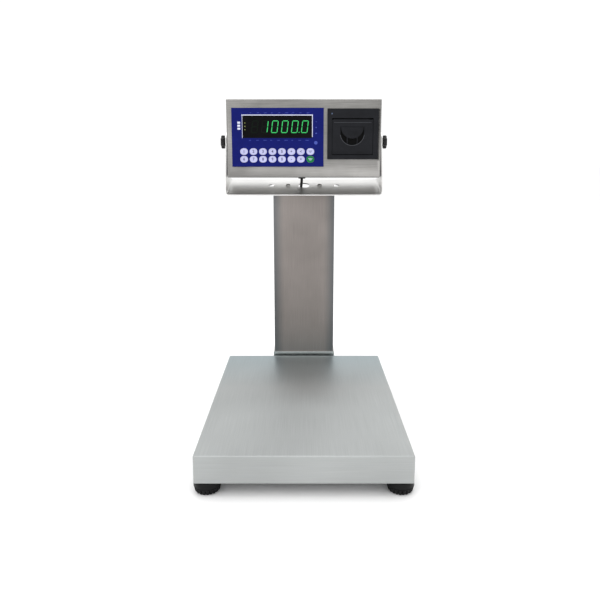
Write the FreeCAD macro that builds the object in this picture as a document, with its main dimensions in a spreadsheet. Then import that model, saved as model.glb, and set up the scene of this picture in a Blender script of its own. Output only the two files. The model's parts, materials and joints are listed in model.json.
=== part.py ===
import FreeCAD, Part
import Sketcher
import math
import os
import re

# A stainless bench scale: a lift-off pan on a welded base with four screw feet,
# a square column behind it, and an indicator with a ticket printer held in a
# tilting U-bracket.  Millimetres, +Z up, front towards -Y, floor at z = 0,
# origin at the centre of the whole footprint.

DIMENSIONS = {
    # platform
    "pan_width": 300, "pan_depth": 400, "pan_top": 60, "skirt_height": 40, "pan_sheet": 1.2,
    "pan_corner": 2.5, "pan_edge": 2.4, "frame_gap": 4.8, "notch_height": 20, "notch_side": 2,
    # base frame
    "rail_width": 20, "rail_height": 16, "rail_wall": 2, "rail_bottom": 26, "cell_plate": 3,
    "cell_plate_depth": 70, "bush_radius": 9,
    # feet
    "foot_side": 16, "foot_end": 19.5, "foot_radius": 19.25, "foot_height": 19, "foot_edge": 1.5,
    "foot_skirt": 9, "foot_taper": 2, "scallops": 20, "scallop_radius": 2.6, "scallop_depth": 2.6,
    "stud_radius": 5, "stud_top": 44, "stud_seat": 8,
    "stud_gap": 0.05, "nut_radius": 9.8, "nut_height": 5.5,
    # load cell and the spider that carries the pan
    "cell_length": 150, "cell_width": 30, "cell_height": 22, "cell_bore": 7, "cell_bore_pitch": 24,
    "cell_bolt": 3, "cell_bolt_pitch": 20, "cell_bolt_end": 20, "bolt_head": 5, "bolt_head_height": 3,
    "spider_height": 8, "spider_bar": 20, "spider_inset_x": 40, "spider_inset_y": 50,
    "spider_end": 20, "plate_overhang": 10,
    "bumper_radius": 9, "bumper_height": 4, "stop_radius": 3, "stop_head": 5, "stop_gap": 0.5,
    # column and its socket
    "column_gap": 10, "column_width": 118, "column_depth": 60, "column_sheet": 1.5, "lip_width": 12,
    "mount_sheet": 2, "mount_plate": 3, "mount_reach": 56, "mount_top": 66, "mount_gap": 0.2,
    "flange_width": 36, "cover_sheet": 1.5, "cover_drop": 30, "cover_inset": 4, "cover_bottom": 28,
    "screw_radius": 2, "screw_head": 4, "screw_head_height": 1.8, "cover_screw_rows": 3,
    "mount_bolt_x": 40, "mount_bolt_inset": 10,
    # tilting bracket, in its own sloped frame about the pivot
    "slope": 16.8, "pivot_height": 422.5, "pivot_ahead": 12.5, "bracket_width": 297, "bracket_sheet": 2,
    "plate_drop": 83.2, "plate_ahead": 68, "plate_behind": 21, "arm_end": 20, "bend_radius": 4,
    "slot_width": 21, "slot_length": 27, "slot_back": 8, "fix_hole_x": 31, "side_hole_x": 63,
    "side_hole": 6.2, "fix_screw": 2.5, "fix_head": 4.6, "fix_head_height": 2.4,
    # pivot hardware
    "knob_radius": 12.5, "knob_height": 9.5, "knob_lobes": 6, "knob_flute": 4.2, "knob_stud": 3,
    "washer_radius": 9, "washer_thickness": 1.2, "hole_gap": 0.3, "disc_radius": 19, "disc_gap": 0.3,
    "boss_radius": 7, "boss_length": 9, "stud_reach": 9.5,
    # indicator housing, about the pivot
    "house_width": 285, "house_height": 142, "house_depth": 74, "house_sheet": 1.5, "face_ahead": 46,
    "house_rise": 4.8, "house_edge": 2, "rear_sheet": 1.5, "gasket": 1, "gasket_width": 8,
    "rear_lip": 10, "rear_screw_inset": 6,
    # membrane label, window and keys
    "label_left": 133, "label_width": 169.3, "label_bottom": 50.6, "label_height": 106,
    "label_thick": 1, "window_left": 113.1, "window_width": 128.1, "window_bottom": 1.3,
    "window_height": 40.5, "window_recess": 0.4, "window_thick": 0.6,
    "key_columns": 8, "key_rows": 2, "key_x": 110.9, "key_pitch": 17.55, "key_z": 23.2,
    "key_row_pitch": 14, "key_width": 14.2, "key_height": 12.1, "key_proud": 0.4, "key_thick": 0.9,
    "key_gap": 0.25, "key_corner": 5.9, "digit_count": 6, "digit_pitch": 18.4, "digit_left": 98,
    "digit_width": 15, "digit_bottom": 9.9, "digit_height": 23.4, "digit_thick": 3,
    "board_thick": 1.6, "board_gap": 9, "main_board_back": 14,
    # ticket printer
    "printer_left": 43.2, "printer_width": 93.9, "printer_bottom": 37.2, "printer_height": 91.3,
    "printer_proud": 3, "spigot_depth": 6, "spigot_inset": 5, "spigot_gap": 0.4, "door_left": 52.3,
    "door_width": 74.4, "door_bottom": 28.8, "door_height": 63.2, "door_gap": 0.6, "door_thick": 3.4,
    "door_proud": 2.6, "slot_gap": 2.4, "pull_x": 89.05, "pull_top": 21.6, "pull_radius": 21.2,
    "recess_radius": 22, "recess_z": 10.5, "recess_depth": 2.4, "latch_thick": 1.6, "latch_gap": 0.5,
    "latch_pin": 0.5, "latch_pin_end": 1.2,
    "lamp_x": 51.6, "lamp_z": 45, "lamp_radius": 1.6, "lamp_depth": 2, "bay_wall": 1.5, "bay_depth": 52,
    "paper_radius": 19, "paper_core": 6.5, "paper_width": 57, "paper_back": 31, "paper_z": 0,
    "platen_radius": 4, "platen_back": 10, "platen_z": 27, "platen_width": 60, "platen_pin": 1.5,
    "ear_thick": 2, "pin_gap": 0.05,
    # cables and their fittings
    "cable_radius": 2.6, "gland_radius": 7, "gland_drop": 4, "gland_nut": 4, "cable_x": 4,
    "cable_back": 15, "inlet_width": 27, "inlet_height": 20, "inlet_depth": 6, "inlet_x": 90,
    "inlet_flange": 2, "inlet_wall": 5, "gland_neck": 2, "cable_sway": 2,
    "cable_side": 26, "cable_hole": 4, "cable_z": 33,
    # how far a cutting tool runs past a face
    "past": 1,
}

doc = FreeCAD.newDocument("BenchScale")
sheet = doc.addObject("Spreadsheet::Sheet", "Dims")
for row, (alias, size) in enumerate(DIMENSIONS.items(), 1):
    sheet.set(f"A{row}", alias)
    sheet.set(f"B{row}", str(size))
    sheet.setAlias(f"B{row}", alias)
doc.recompute()

WORDS = re.compile(r"\b(" + "|".join(sorted(DIMENSIONS, key=len, reverse=True)) + r")\b")
sub_parts = []


def scoped(expression):
    """Point every named size in an expression at its cell."""
    return WORDS.sub(r"Dims.\1", str(expression))


def number(expression):
    """The value of an expression of named sizes."""
    return float(sheet.evalExpression(scoped(expression)))


def bind(item, prop, expression):
    item.setExpression(prop, scoped(expression))


def place(item, x="0", y="0", z="0", turn=None):
    """Bind an object's place; turn is (axis, angle expression in degrees)."""
    if turn:
        axis, angle = turn
        item.Placement = FreeCAD.Placement(FreeCAD.Vector(), FreeCAD.Rotation(axis, number(angle)))
        bind(item, "Placement.Rotation.Angle", f"({angle}) * 1deg")
    bind(item, "Placement.Base.x", x)
    bind(item, "Placement.Base.y", y)
    bind(item, "Placement.Base.z", z)
    return item


def keep(item, label):
    """Name an object and list it as a finished sub-part."""
    item.Label = label
    sub_parts.append(item)
    return item


def box(low, size, turn=None):
    item = doc.addObject("Part::Box", "Block")
    for prop, expression in zip(("Length", "Width", "Height"), size):
        bind(item, prop, expression)
    return place(item, *low, turn)


AXES = {
    "X": FreeCAD.Rotation(FreeCAD.Vector(0, 1, 0), 90),
    "Y": FreeCAD.Rotation(FreeCAD.Vector(1, 0, 0), -90),
    "Z": FreeCAD.Rotation(),
}


def rod(base, radius, length, axis="Z"):
    """A cylinder from its base centre along +X, +Y or +Z."""
    item = doc.addObject("Part::Cylinder", "Rod")
    bind(item, "Radius", radius)
    bind(item, "Height", length)
    item.Placement = FreeCAD.Placement(FreeCAD.Vector(), AXES[axis])
    return place(item, *base)


def hexagon(base, radius, length):
    item = doc.addObject("Part::Prism", "Hex")
    item.Polygon = 6
    bind(item, "Circumradius", radius)
    bind(item, "Height", length)
    return place(item, *base)


def fuse(*items):
    item = doc.addObject("Part::MultiFuse", "Joined")
    item.Shapes = list(items)
    return item


def cut(base, *tools):
    item = doc.addObject("Part::Cut", "Trimmed")
    item.Base = base
    item.Tool = tools[0] if len(tools) == 1 else fuse(*tools)
    return item


def group(*items):
    """Separate solids that share one node."""
    item = doc.addObject("Part::Compound", "Set")
    item.Links = list(items)
    return item


def origin_plane(body, role):
    return [(face, "") for face in body.Origin.OriginFeatures if face.Role == role][0]


def new_body():
    return doc.addObject("PartDesign::Body", "Body")


def outline(body, role, points):
    """A closed polygon on one of the body's origin planes, every corner bound to the sheet."""
    sketch = body.newObject("Sketcher::SketchObject", "Outline")
    sketch.AttachmentSupport = origin_plane(body, role)
    sketch.MapMode = "FlatFace"
    corners = [FreeCAD.Vector(number(u), number(v), 0) for u, v in points]
    count = len(points)
    for index, corner in enumerate(corners):
        sketch.addGeometry(Part.LineSegment(corner, corners[(index + 1) % count]), False)
    for index in range(count):
        sketch.addConstraint(Sketcher.Constraint("Coincident", index, 2, (index + 1) % count, 1))
    for index, (u, v) in enumerate(points):
        for kind, expression, at in (("DistanceX", u, corners[index].x), ("DistanceY", v, corners[index].y)):
            which = sketch.addConstraint(Sketcher.Constraint(kind, -1, 1, index, 1, at))
            sketch.renameConstraint(which, f"{kind}{index}")
            bind(sketch, f"Constraints.{kind}{index}", expression)
    return sketch


def circle(body, role, u, v, radius):
    sketch = body.newObject("Sketcher::SketchObject", "Round")
    sketch.AttachmentSupport = origin_plane(body, role)
    sketch.MapMode = "FlatFace"
    centre = FreeCAD.Vector(number(u), number(v), 0)
    sketch.addGeometry(Part.Circle(centre, FreeCAD.Vector(0, 0, 1), number(radius)), False)
    for kind, expression, at in (("DistanceX", u, centre.x), ("DistanceY", v, centre.y)):
        which = sketch.addConstraint(Sketcher.Constraint(kind, -1, 1, 0, 3, at))
        sketch.renameConstraint(which, kind)
        bind(sketch, f"Constraints.{kind}", expression)
    which = sketch.addConstraint(Sketcher.Constraint("Radius", 0, number(radius)))
    sketch.renameConstraint(which, "Radius")
    bind(sketch, "Constraints.Radius", radius)
    return sketch


def rectangle(left, bottom, right, top):
    return [(left, bottom), (right, bottom), (right, top), (left, top)]


def feature(body, kind, sketch, length, backwards=False, both=False):
    """A Pad or Pocket of a sketch; both spreads it evenly either side of its plane."""
    item = body.newObject(f"PartDesign::{kind}", kind)
    item.Profile = sketch
    bind(item, "Length", length)
    item.Reversed = backwards
    if both:
        item.SideType = "Symmetric"
    doc.recompute()
    return item


def pad(body, sketch, length, backwards=False, both=False):
    return feature(body, "Pad", sketch, length, backwards, both)


def pocket(body, sketch, length, backwards=False, both=False):
    """A Pocket that has to take material away."""
    before = body.Shape.Volume
    item = feature(body, "Pocket", sketch, length, backwards, both)
    if body.Shape.Volume >= before:
        raise ValueError(f"{body.Label}: the pocket cuts nothing")
    return item


def around(body, item, count):
    """Repeat a feature evenly about the body's Z axis."""
    pattern = body.newObject("PartDesign::PolarPattern", "Around")
    pattern.Originals = [item]
    pattern.Axis = [(line, "") for line in body.Origin.OriginFeatures if line.Role == "Z_Axis"][0]
    pattern.Angle = 360
    bind(pattern, "Occurrences", count)
    body.Tip = pattern
    doc.recompute()
    return pattern


def round_off(body, item, radius, wanted):
    """Fillet the edges of a feature for which wanted(edge) holds."""
    names = [f"Edge{index}" for index, edge in enumerate(item.Shape.Edges, 1) if wanted(edge)]
    fillet = body.newObject("PartDesign::Fillet", "Fillet")
    fillet.Base = (item, names)
    bind(fillet, "Radius", radius)
    doc.recompute()
    return fillet


def runs_along(axis):
    """A test for straight edges parallel to an axis."""
    direction = FreeCAD.Vector(*[float(axis == name) for name in "XYZ"])

    def test(edge):
        if edge.Curve.TypeId != "Part::GeomLine":
            return False
        return abs(abs(edge.Curve.Direction.dot(direction)) - 1) < 1e-6
    return test


def corners(x, y):
    """The four (x, y) expressions of a symmetric rectangle's corners."""
    return [(f"{sx}({x})", f"{sy}({y})") for sx in ("-", "") for sy in ("-", "")]


# Places that several pieces share.
PLATFORM_Y = "(-(column_gap + column_depth + cover_sheet + screw_head_height) / 2)"
PAN_REAR = f"({PLATFORM_Y} + pan_depth / 2)"
COLUMN_FRONT = f"({PAN_REAR} + column_gap)"
COLUMN_REAR = f"({COLUMN_FRONT} + column_depth)"
FRAME_X = "(pan_width / 2 - pan_sheet - frame_gap)"
FRAME_Y = "(pan_depth / 2 - pan_sheet - frame_gap)"
FOOT_X = "(pan_width / 2 - foot_side)"
FOOT_Y = "(pan_depth / 2 - foot_end)"
RAIL_TOP = "(rail_bottom + rail_height)"
CELL_BOTTOM = "(rail_bottom + cell_plate)"
CELL_TOP = f"({CELL_BOTTOM} + cell_height)"
SPIDER_X = "(pan_width / 2 - spider_inset_x)"
SPIDER_Y = "(pan_depth / 2 - spider_inset_y)"
SPIDER_TOP = "(pan_top - pan_sheet - bumper_height)"
SPIDER_BOTTOM = f"({SPIDER_TOP} - spider_height)"
PIVOT_Y = f"({COLUMN_FRONT} + pivot_ahead)"
PIVOT_Z = "(pan_top + pivot_height)"
FACE_Y = f"({PIVOT_Y} - face_ahead)"
HOUSE_REAR = f"({FACE_Y} + house_depth)"
HOUSE_Z = f"({PIVOT_Z} + house_rise)"
HOUSE_BOTTOM = f"({HOUSE_Z} - house_height / 2)"
HOLE_ROW = "(plate_ahead - plate_behind + slot_back)"
SLOPE_AXIS = FreeCAD.Vector(1, 0, 0)
BEND_SHARE = 0.45  # how much of a cable's straight run each of its bends may take


def plane_z(y, drop):
    """Height of the sloped plane that lies drop below the pivot, at a given y."""
    return f"({PIVOT_Z} - ({drop}) / cos(slope * 1deg) + ({y} - {PIVOT_Y}) * tan(slope * 1deg))"


def on_slope(x, along, drop):
    """A point of the bracket's own frame as (x, y, z) expressions."""
    y = f"({PIVOT_Y} + ({along}) * cos(slope * 1deg) + ({drop}) * sin(slope * 1deg))"
    z = f"({PIVOT_Z} + ({along}) * sin(slope * 1deg) - ({drop}) * cos(slope * 1deg))"
    return x, y, z


def tube_along_y(x, y, z, length):
    """A square rail with a hollow middle; its shell and its hollow."""
    shell = box((x, y, z), ("rail_width", length, "rail_height"))
    hollow = box((f"{x} + rail_wall", f"{y} - past", f"{z} + rail_wall"),
                 ("rail_width - 2 * rail_wall", f"{length} + 2 * past", "rail_height - 2 * rail_wall"))
    return shell, hollow


def make_base_frame():
    sides = [tube_along_y(x, f"{PLATFORM_Y} - {FRAME_Y}", "rail_bottom", f"2 * {FRAME_Y}")
             for x in (f"-{FRAME_X}", f"{FRAME_X} - rail_width")]
    ends = [box((f"-{FRAME_X} + rail_width", y, "rail_bottom"),
                (f"2 * ({FRAME_X} - rail_width)", "rail_width", "rail_height"))
            for y in (f"{PLATFORM_Y} - {FRAME_Y}", f"{PLATFORM_Y} + {FRAME_Y} - rail_width")]
    plate = box((f"-{FRAME_X} + rail_width / 2", f"{PLATFORM_Y} - cell_length / 2 - plate_overhang",
                 "rail_bottom"),
                (f"2 * {FRAME_X} - rail_width", "cell_plate_depth", "cell_plate"))
    rails = cut(fuse(*[shell for shell, _ in sides]), *[hollow for _, hollow in sides])
    bushes = [rod((x, f"{PLATFORM_Y} + {y}", "rail_bottom"), "bush_radius", "rail_height")
              for x, y in corners(FOOT_X, FOOT_Y)]
    bores = [rod((x, f"{PLATFORM_Y} + {y}", "rail_bottom - past"), "stud_radius + stud_gap",
                 "rail_height + 2 * past")
             for x, y in corners(FOOT_X, FOOT_Y)]
    stops = [rod((x, f"{PLATFORM_Y} + {y}", "rail_bottom"), "stop_radius", "rail_height + past")
             for x, y in corners(f"{FRAME_X} - rail_width / 2", SPIDER_Y)]
    bolts = [rod(("0", y, "rail_bottom - past"), "cell_bolt", "cell_plate + 2 * past") for y in fixed_bolts()]
    lead = rod(("cable_side", f"{PLATFORM_Y} + {FRAME_Y} - rail_width - past", "cable_z"), "cable_hole",
               "rail_width + 2 * past", "Y")
    mounts = [rod((x, y, "rail_bottom - past"), "cell_bolt", "rail_height + 2 * past")
              for x, y in mount_bolts()]
    body = fuse(rails, *ends, plate, *bushes)
    keep(cut(body, *bores, *stops, *bolts, lead, *mounts), "base_frame")


def fixed_bolts():
    return [f"{PLATFORM_Y} - cell_length / 2 + cell_bolt_end + {step} - cell_bolt_pitch / 2"
            for step in ("0", "cell_bolt_pitch")]


def live_bolts():
    return [f"{PLATFORM_Y} + cell_length / 2 - cell_bolt_end - {step} + cell_bolt_pitch / 2"
            for step in ("0", "cell_bolt_pitch")]


def mount_bolts():
    return [(f"{side}mount_bolt_x", f"{PLATFORM_Y} + {FRAME_Y} - mount_bolt_inset") for side in ("-", "")]


def make_feet():
    nuts = []
    for index, (x, y) in enumerate(corners(FOOT_X, FOOT_Y), 1):
        y = f"{PLATFORM_Y} + {y}"
        keep(rod((x, y, "stud_seat"), "stud_radius", "stud_top - stud_seat"), f"foot_stud_{index}")
        nut = hexagon((x, y, "rail_bottom - nut_height"), "nut_radius", "nut_height")
        bore = rod((x, y, "rail_bottom - nut_height - past"), "stud_radius + stud_gap",
                   "nut_height + 2 * past")
        nuts.append(cut(nut, bore))
        keep(foot_pad(x, y), f"foot_pad_{index}")
    keep(group(*nuts), "foot_nuts")


def foot_pad(x, y):
    """A round glide, scalloped below a smooth band, with a blind seat for the stud."""
    body = new_body()
    profile = [("0", "0"), ("foot_radius - foot_taper", "0"), ("foot_radius", "foot_skirt"),
               ("foot_radius", "foot_height - foot_edge"),
               ("foot_radius - foot_edge", "foot_height"),
               ("stud_radius + stud_gap", "foot_height"), ("stud_radius + stud_gap", "stud_seat"),
               ("0", "stud_seat")]
    turned = body.newObject("PartDesign::Revolution", "Turned")
    turned.Profile = outline(body, "XZ_Plane", profile)
    turned.ReferenceAxis = [(line, "") for line in body.Origin.OriginFeatures if line.Role == "Z_Axis"][0]
    turned.Angle = 360
    doc.recompute()
    notch = circle(body, "XY_Plane", "foot_radius + scallop_radius - scallop_depth", "0", "scallop_radius")
    scallop = pocket(body, notch, "foot_skirt", backwards=True)
    around(body, scallop, "scallops")
    return place(body, x, y, "0")


def make_load_cell():
    block = box(("-cell_width / 2", f"{PLATFORM_Y} - cell_length / 2", CELL_BOTTOM),
                ("cell_width", "cell_length", "cell_height"))
    middle = f"({CELL_BOTTOM} + cell_height / 2)"
    eyes = [rod(("-cell_width / 2 - past", f"{PLATFORM_Y} {side} cell_bore_pitch / 2", middle), "cell_bore",
                "cell_width + 2 * past", "X") for side in ("-", "+")]
    waist = box(("-cell_width / 2 - past", f"{PLATFORM_Y} - cell_bore_pitch / 2",
                 f"{middle} - cell_bore / 2"),
                ("cell_width + 2 * past", "cell_bore_pitch", "cell_bore"))
    below = [rod(("0", y, f"{CELL_BOTTOM} - past"), "cell_bolt", "cell_height / 2 + past")
             for y in fixed_bolts()]
    above = [rod(("0", y, middle), "cell_bolt", "cell_height / 2 + past") for y in live_bolts()]
    keep(cut(block, *eyes, waist, *below, *above), "load_cell")
    low = [fuse(rod(("0", y, "rail_bottom - bolt_head_height"), "bolt_head", "bolt_head_height"),
                rod(("0", y, "rail_bottom"), "cell_bolt", "cell_plate + cell_height / 2 - past"))
           for y in fixed_bolts()]
    high = [fuse(rod(("0", y, SPIDER_TOP), "bolt_head", "bolt_head_height"),
                 rod(("0", y, f"{middle} + past"), "cell_bolt", f"{SPIDER_TOP} - {middle} - past"))
            for y in live_bolts()]
    keep(group(*low, *high), "load_cell_bolts")


def make_top_frame():
    beams = [box((f"{x} - spider_bar / 2", f"{PLATFORM_Y} - {SPIDER_Y} - spider_end", SPIDER_BOTTOM),
                 ("spider_bar", f"2 * ({SPIDER_Y} + spider_end)", "spider_height"))
             for x in (f"-{SPIDER_X}", SPIDER_X)]
    bars = [box((f"-{FRAME_X} + rail_width / 4", f"{PLATFORM_Y} {y} - spider_bar / 2", SPIDER_BOTTOM),
                (f"2 * {FRAME_X} - rail_width / 2", "spider_bar", "spider_height"))
            for y in (f"- {SPIDER_Y}", f"+ {SPIDER_Y}")]
    plate = box((f"-{SPIDER_X}",
                 f"{PLATFORM_Y} + cell_length / 2 + plate_overhang - cell_plate_depth", CELL_TOP),
                (f"2 * {SPIDER_X}", "cell_plate_depth", f"{SPIDER_TOP} - {CELL_TOP}"))
    bolts = [rod(("0", y, f"{CELL_TOP} - past"), "cell_bolt", f"{SPIDER_TOP} - {CELL_TOP} + 2 * past")
             for y in live_bolts()]
    keep(cut(fuse(*beams, *bars, plate), *bolts), "top_frame")
    spots = corners(SPIDER_X, SPIDER_Y)
    keep(group(*[rod((x, f"{PLATFORM_Y} + {y}", SPIDER_TOP), "bumper_radius", "bumper_height")
                 for x, y in spots]), "pan_bumpers")
    stops = []
    for x, y in corners(f"{FRAME_X} - rail_width / 2", SPIDER_Y):
        y = f"{PLATFORM_Y} + {y}"
        head = hexagon((x, y, RAIL_TOP), "stop_head", f"{SPIDER_BOTTOM} - stop_gap - {RAIL_TOP}")
        stops.append(fuse(head, rod((x, y, "rail_bottom + rail_wall"), "stop_radius",
                                    f"{RAIL_TOP} - rail_bottom - rail_wall")))
    keep(group(*stops), "overload_stops")


def make_platform_pan():
    """A tray turned upside down, its rear skirt notched over the column's plate and the cell's lead."""
    body = new_body()
    plan = rectangle("-pan_width / 2", "-pan_depth / 2", "pan_width / 2", "pan_depth / 2")
    block = pad(body, outline(body, "XY_Plane", plan), "skirt_height")
    sides = round_off(body, block, "pan_corner", runs_along("Z"))
    top = round_off(body, sides, "pan_edge", lambda edge: edge.BoundBox.ZMin > number("skirt_height") - 1e-3)
    inner = rectangle("-pan_width / 2 + pan_sheet", "-pan_depth / 2 + pan_sheet",
                      "pan_width / 2 - pan_sheet", "pan_depth / 2 - pan_sheet")
    body.Tip = top
    pocket(body, outline(body, "XY_Plane", inner), "skirt_height - pan_sheet", backwards=True)
    place(body, "0", PLATFORM_Y, "pan_top - skirt_height")
    notch = box(("-column_width / 2 - mount_sheet - notch_side", f"{PAN_REAR} - 2 * pan_sheet",
                 "pan_top - skirt_height - past"),
                ("column_width + 2 * (mount_sheet + notch_side)", "3 * pan_sheet", "notch_height + past"))
    keep(cut(body, notch), "platform_pan")


def make_column():
    height = f"{plane_z(COLUMN_REAR, 'plate_drop + bracket_sheet')} - rail_bottom"
    shell = box(("-column_width / 2", COLUMN_FRONT, "rail_bottom"), ("column_width", "column_depth", height))
    hollow = box(("-column_width / 2 + column_sheet", f"{COLUMN_FRONT} + column_sheet", "rail_bottom - past"),
                 ("column_width - 2 * column_sheet", "column_depth - 2 * column_sheet",
                  f"{height} + 2 * past"))
    gap = box(("-column_width / 2 + lip_width", f"{COLUMN_REAR} - 2 * column_sheet", "rail_bottom - past"),
              ("column_width - 2 * lip_width", "4 * column_sheet", f"{height} + 2 * past"))
    lead = rod(("cable_side", f"{COLUMN_FRONT} - past", "cable_z"), "cable_hole",
               "column_sheet + 2 * past", "Y")
    screws = [rod((x, f"{COLUMN_REAR} - 2 * column_sheet", z), "screw_radius", "4 * column_sheet", "Y")
              for x, z in cover_screws()]
    tube = cut(shell, hollow, gap, lead, *screws)
    flanges = [box(on_slope(x, "-plate_ahead", "plate_drop + bracket_sheet + column_sheet"),
                   ("flange_width", "plate_ahead + plate_behind", "column_sheet"), (SLOPE_AXIS, "slope"))
               for x in ("-column_width / 2 + column_sheet / 2",
                         "column_width / 2 - column_sheet / 2 - flange_width")]
    reach = box(("-column_width / 2", f"{COLUMN_FRONT} + column_sheet / 2", "rail_bottom"),
                ("column_width", "column_depth - 1.5 * column_sheet", f"{height} + column_depth"))
    inside = doc.addObject("Part::MultiCommon", "Flanges")
    inside.Shapes = [fuse(*flanges), reach]
    above = box(on_slope("-column_width", "-plate_ahead - column_depth", "plate_drop + bracket_sheet"),
                ("2 * column_width", "plate_ahead + plate_behind + 2 * column_depth", "column_depth"),
                (SLOPE_AXIS, "slope"))
    fixings = [sloped_rod(x, "fix_screw", "plate_drop + bracket_sheet + 3 * column_sheet", "4 * column_sheet")
               for x in ("-fix_hole_x", "fix_hole_x")]
    keep(cut(fuse(tube, inside), above, *fixings), "column")


def sloped_rod(x, radius, drop, length):
    """A cylinder square to the bracket's plate, on the row of holes."""
    item = doc.addObject("Part::Cylinder", "Sloped")
    bind(item, "Radius", radius)
    bind(item, "Height", length)
    return place(item, *on_slope(x, f"-plate_ahead + {HOLE_ROW}", drop),
                 (SLOPE_AXIS, "slope"))


def cover_screws():
    """(x, z) of the screws that hold the column's rear cover."""
    rows = int(number("cover_screw_rows"))
    span = f"({cover_top()} - cover_bottom - 4 * screw_head)"
    return [(f"{side}(column_width - lip_width) / 2",
             f"cover_bottom + 2 * screw_head + {span} * {row} / {rows - 1}")
            for side in ("-", "") for row in range(rows)]


def cover_top():
    return f"({plane_z(COLUMN_REAR, 'plate_drop + bracket_sheet')} - cover_drop / 2)"


def make_column_cover():
    panel = box(("-column_width / 2 + cover_inset / 2", COLUMN_REAR, "cover_bottom"),
                ("column_width - cover_inset", "cover_sheet", f"{cover_top()} - cover_bottom"))
    holes = [rod((x, f"{COLUMN_REAR} - past", z), "screw_radius", "cover_sheet + 2 * past", "Y")
             for x, z in cover_screws()]
    keep(cut(panel, *holes), "column_rear_cover")
    screws = []
    for x, z in cover_screws():
        head = rod((x, f"{COLUMN_REAR} + cover_sheet", z), "screw_head", "screw_head_height", "Y")
        shank = rod((x, f"{COLUMN_REAR} - 3 * column_sheet", z), "screw_radius",
                    "cover_sheet + 3 * column_sheet", "Y")
        screws.append(fuse(head, shank))
    for x in ("-fix_hole_x", "fix_hole_x"):
        head = sloped_rod(x, "fix_head", "plate_drop", "fix_head_height")
        shank = sloped_rod(x, "fix_screw", "plate_drop + bracket_sheet + 4 * column_sheet",
                           "bracket_sheet + 4 * column_sheet")
        screws.append(fuse(head, shank))
    for x, y in mount_bolts():
        head = rod((x, y, "rail_bottom - mount_plate - bolt_head_height"), "bolt_head", "bolt_head_height")
        shank = rod((x, y, "rail_bottom - mount_plate"), "cell_bolt", "mount_plate + rail_height")
        screws.append(fuse(head, shank))
    keep(group(*screws), "column_screws")


def make_column_mount():
    """A plate bolted under the base and folded up as a three-sided socket round the column."""
    half = "(column_width / 2 + mount_gap + mount_sheet)"
    plate = box((f"-{half}", f"{PAN_REAR} - mount_reach", "rail_bottom - mount_plate"),
                (f"2 * {half}", f"mount_reach + column_gap + column_depth", "mount_plate"))
    wall = box((f"-{half}", f"{COLUMN_FRONT} - mount_gap - mount_sheet", "rail_bottom - mount_plate / 2"),
               (f"2 * {half}", "column_depth + mount_gap + mount_sheet",
                "mount_top - rail_bottom + mount_plate / 2"))
    room = box((f"-{half} + mount_sheet", f"{COLUMN_FRONT} - mount_gap", "rail_bottom"),
               (f"2 * ({half} - mount_sheet)", "column_depth + past", "mount_top"))
    lead = rod(("cable_side", f"{COLUMN_FRONT} - mount_sheet - past", "cable_z"), "cable_hole",
               "mount_sheet + 2 * past", "Y")
    bolts = [rod((x, y, "rail_bottom - mount_plate - past"), "cell_bolt", "mount_plate + 2 * past")
             for x, y in mount_bolts()]
    keep(cut(fuse(plate, wall), room, lead, *bolts), "column_mount")


def make_bracket():
    """A folded strap: sloped plate with a row of holes, and two arms tapering to the pivot."""
    body = new_body()
    half = "bracket_width / 2"
    low = "-plate_drop - bracket_sheet"
    strap = pad(body, outline(body, "XZ_Plane", rectangle(f"-{half}", low, half, "arm_end")),
                "plate_ahead + plate_behind + 2 * arm_end", both=True)
    inner = outline(body, "XZ_Plane", rectangle(f"-{half} + bracket_sheet", "-plate_drop",
                                                f"{half} - bracket_sheet", "arm_end + past"))
    hollow = pocket(body, inner, "plate_ahead + plate_behind + 2 * arm_end + 2 * past", both=True)
    floor = round_off(body, hollow, "bend_radius", lambda edge: runs_along("Y")(edge)
                      and abs(edge.BoundBox.ZMin - number("-plate_drop")) < 1e-3)
    body.Tip = round_off(body, floor, "bend_radius + bracket_sheet", lambda edge: runs_along("Y")(edge)
                         and abs(edge.BoundBox.ZMin - number(low)) < 1e-3)
    place(body, "0", PIVOT_Y, PIVOT_Z, (SLOPE_AXIS, "slope"))
    side = new_body()
    silhouette = [("-plate_ahead", low), ("plate_behind", low), ("plate_behind", "-plate_drop + bend_radius"),
                  ("arm_end", "0"), ("arm_end", "arm_end"), ("-arm_end", "arm_end"), ("-arm_end", "0"),
                  ("-plate_ahead", "-plate_drop + bend_radius")]
    slab = pad(side, outline(side, "YZ_Plane", silhouette), "bracket_width + 2 * past", both=True)
    side.Tip = round_off(side, slab, "arm_end - 0.5", lambda edge: runs_along("X")(edge)
                         and edge.BoundBox.ZMin > number("arm_end") - 1e-3)
    place(side, "0", PIVOT_Y, PIVOT_Z, (SLOPE_AXIS, "slope"))
    blank = doc.addObject("Part::MultiCommon", "Strap")
    blank.Shapes = [body, side]
    drop = "plate_drop + bracket_sheet + past"
    deep = "bracket_sheet + 2 * past"
    holes = [sloped_rod(x, "side_hole", drop, deep) for x in ("-side_hole_x", "side_hole_x")]
    holes += [sloped_rod(x, "fix_screw", drop, deep) for x in ("-fix_hole_x", "fix_hole_x")]
    run = f"-plate_ahead + {HOLE_ROW}"
    reach = "(slot_length - slot_width) / 2"
    for step in ("-", "+"):
        end = doc.addObject("Part::Cylinder", "SlotEnd")
        bind(end, "Radius", "slot_width / 2")
        bind(end, "Height", deep)
        holes.append(place(end, *on_slope("0", f"{run} {step} {reach}", drop), (SLOPE_AXIS, "slope")))
    holes.append(box(on_slope("-slot_width / 2", f"{run} - {reach}", drop),
                     ("slot_width", "slot_length - slot_width", deep), (SLOPE_AXIS, "slope")))
    axle = rod((f"-{half} - past", PIVOT_Y, PIVOT_Z), "knob_stud + hole_gap", "bracket_width + 2 * past", "X")
    keep(cut(blank, *holes, axle), "indicator_bracket")


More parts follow.
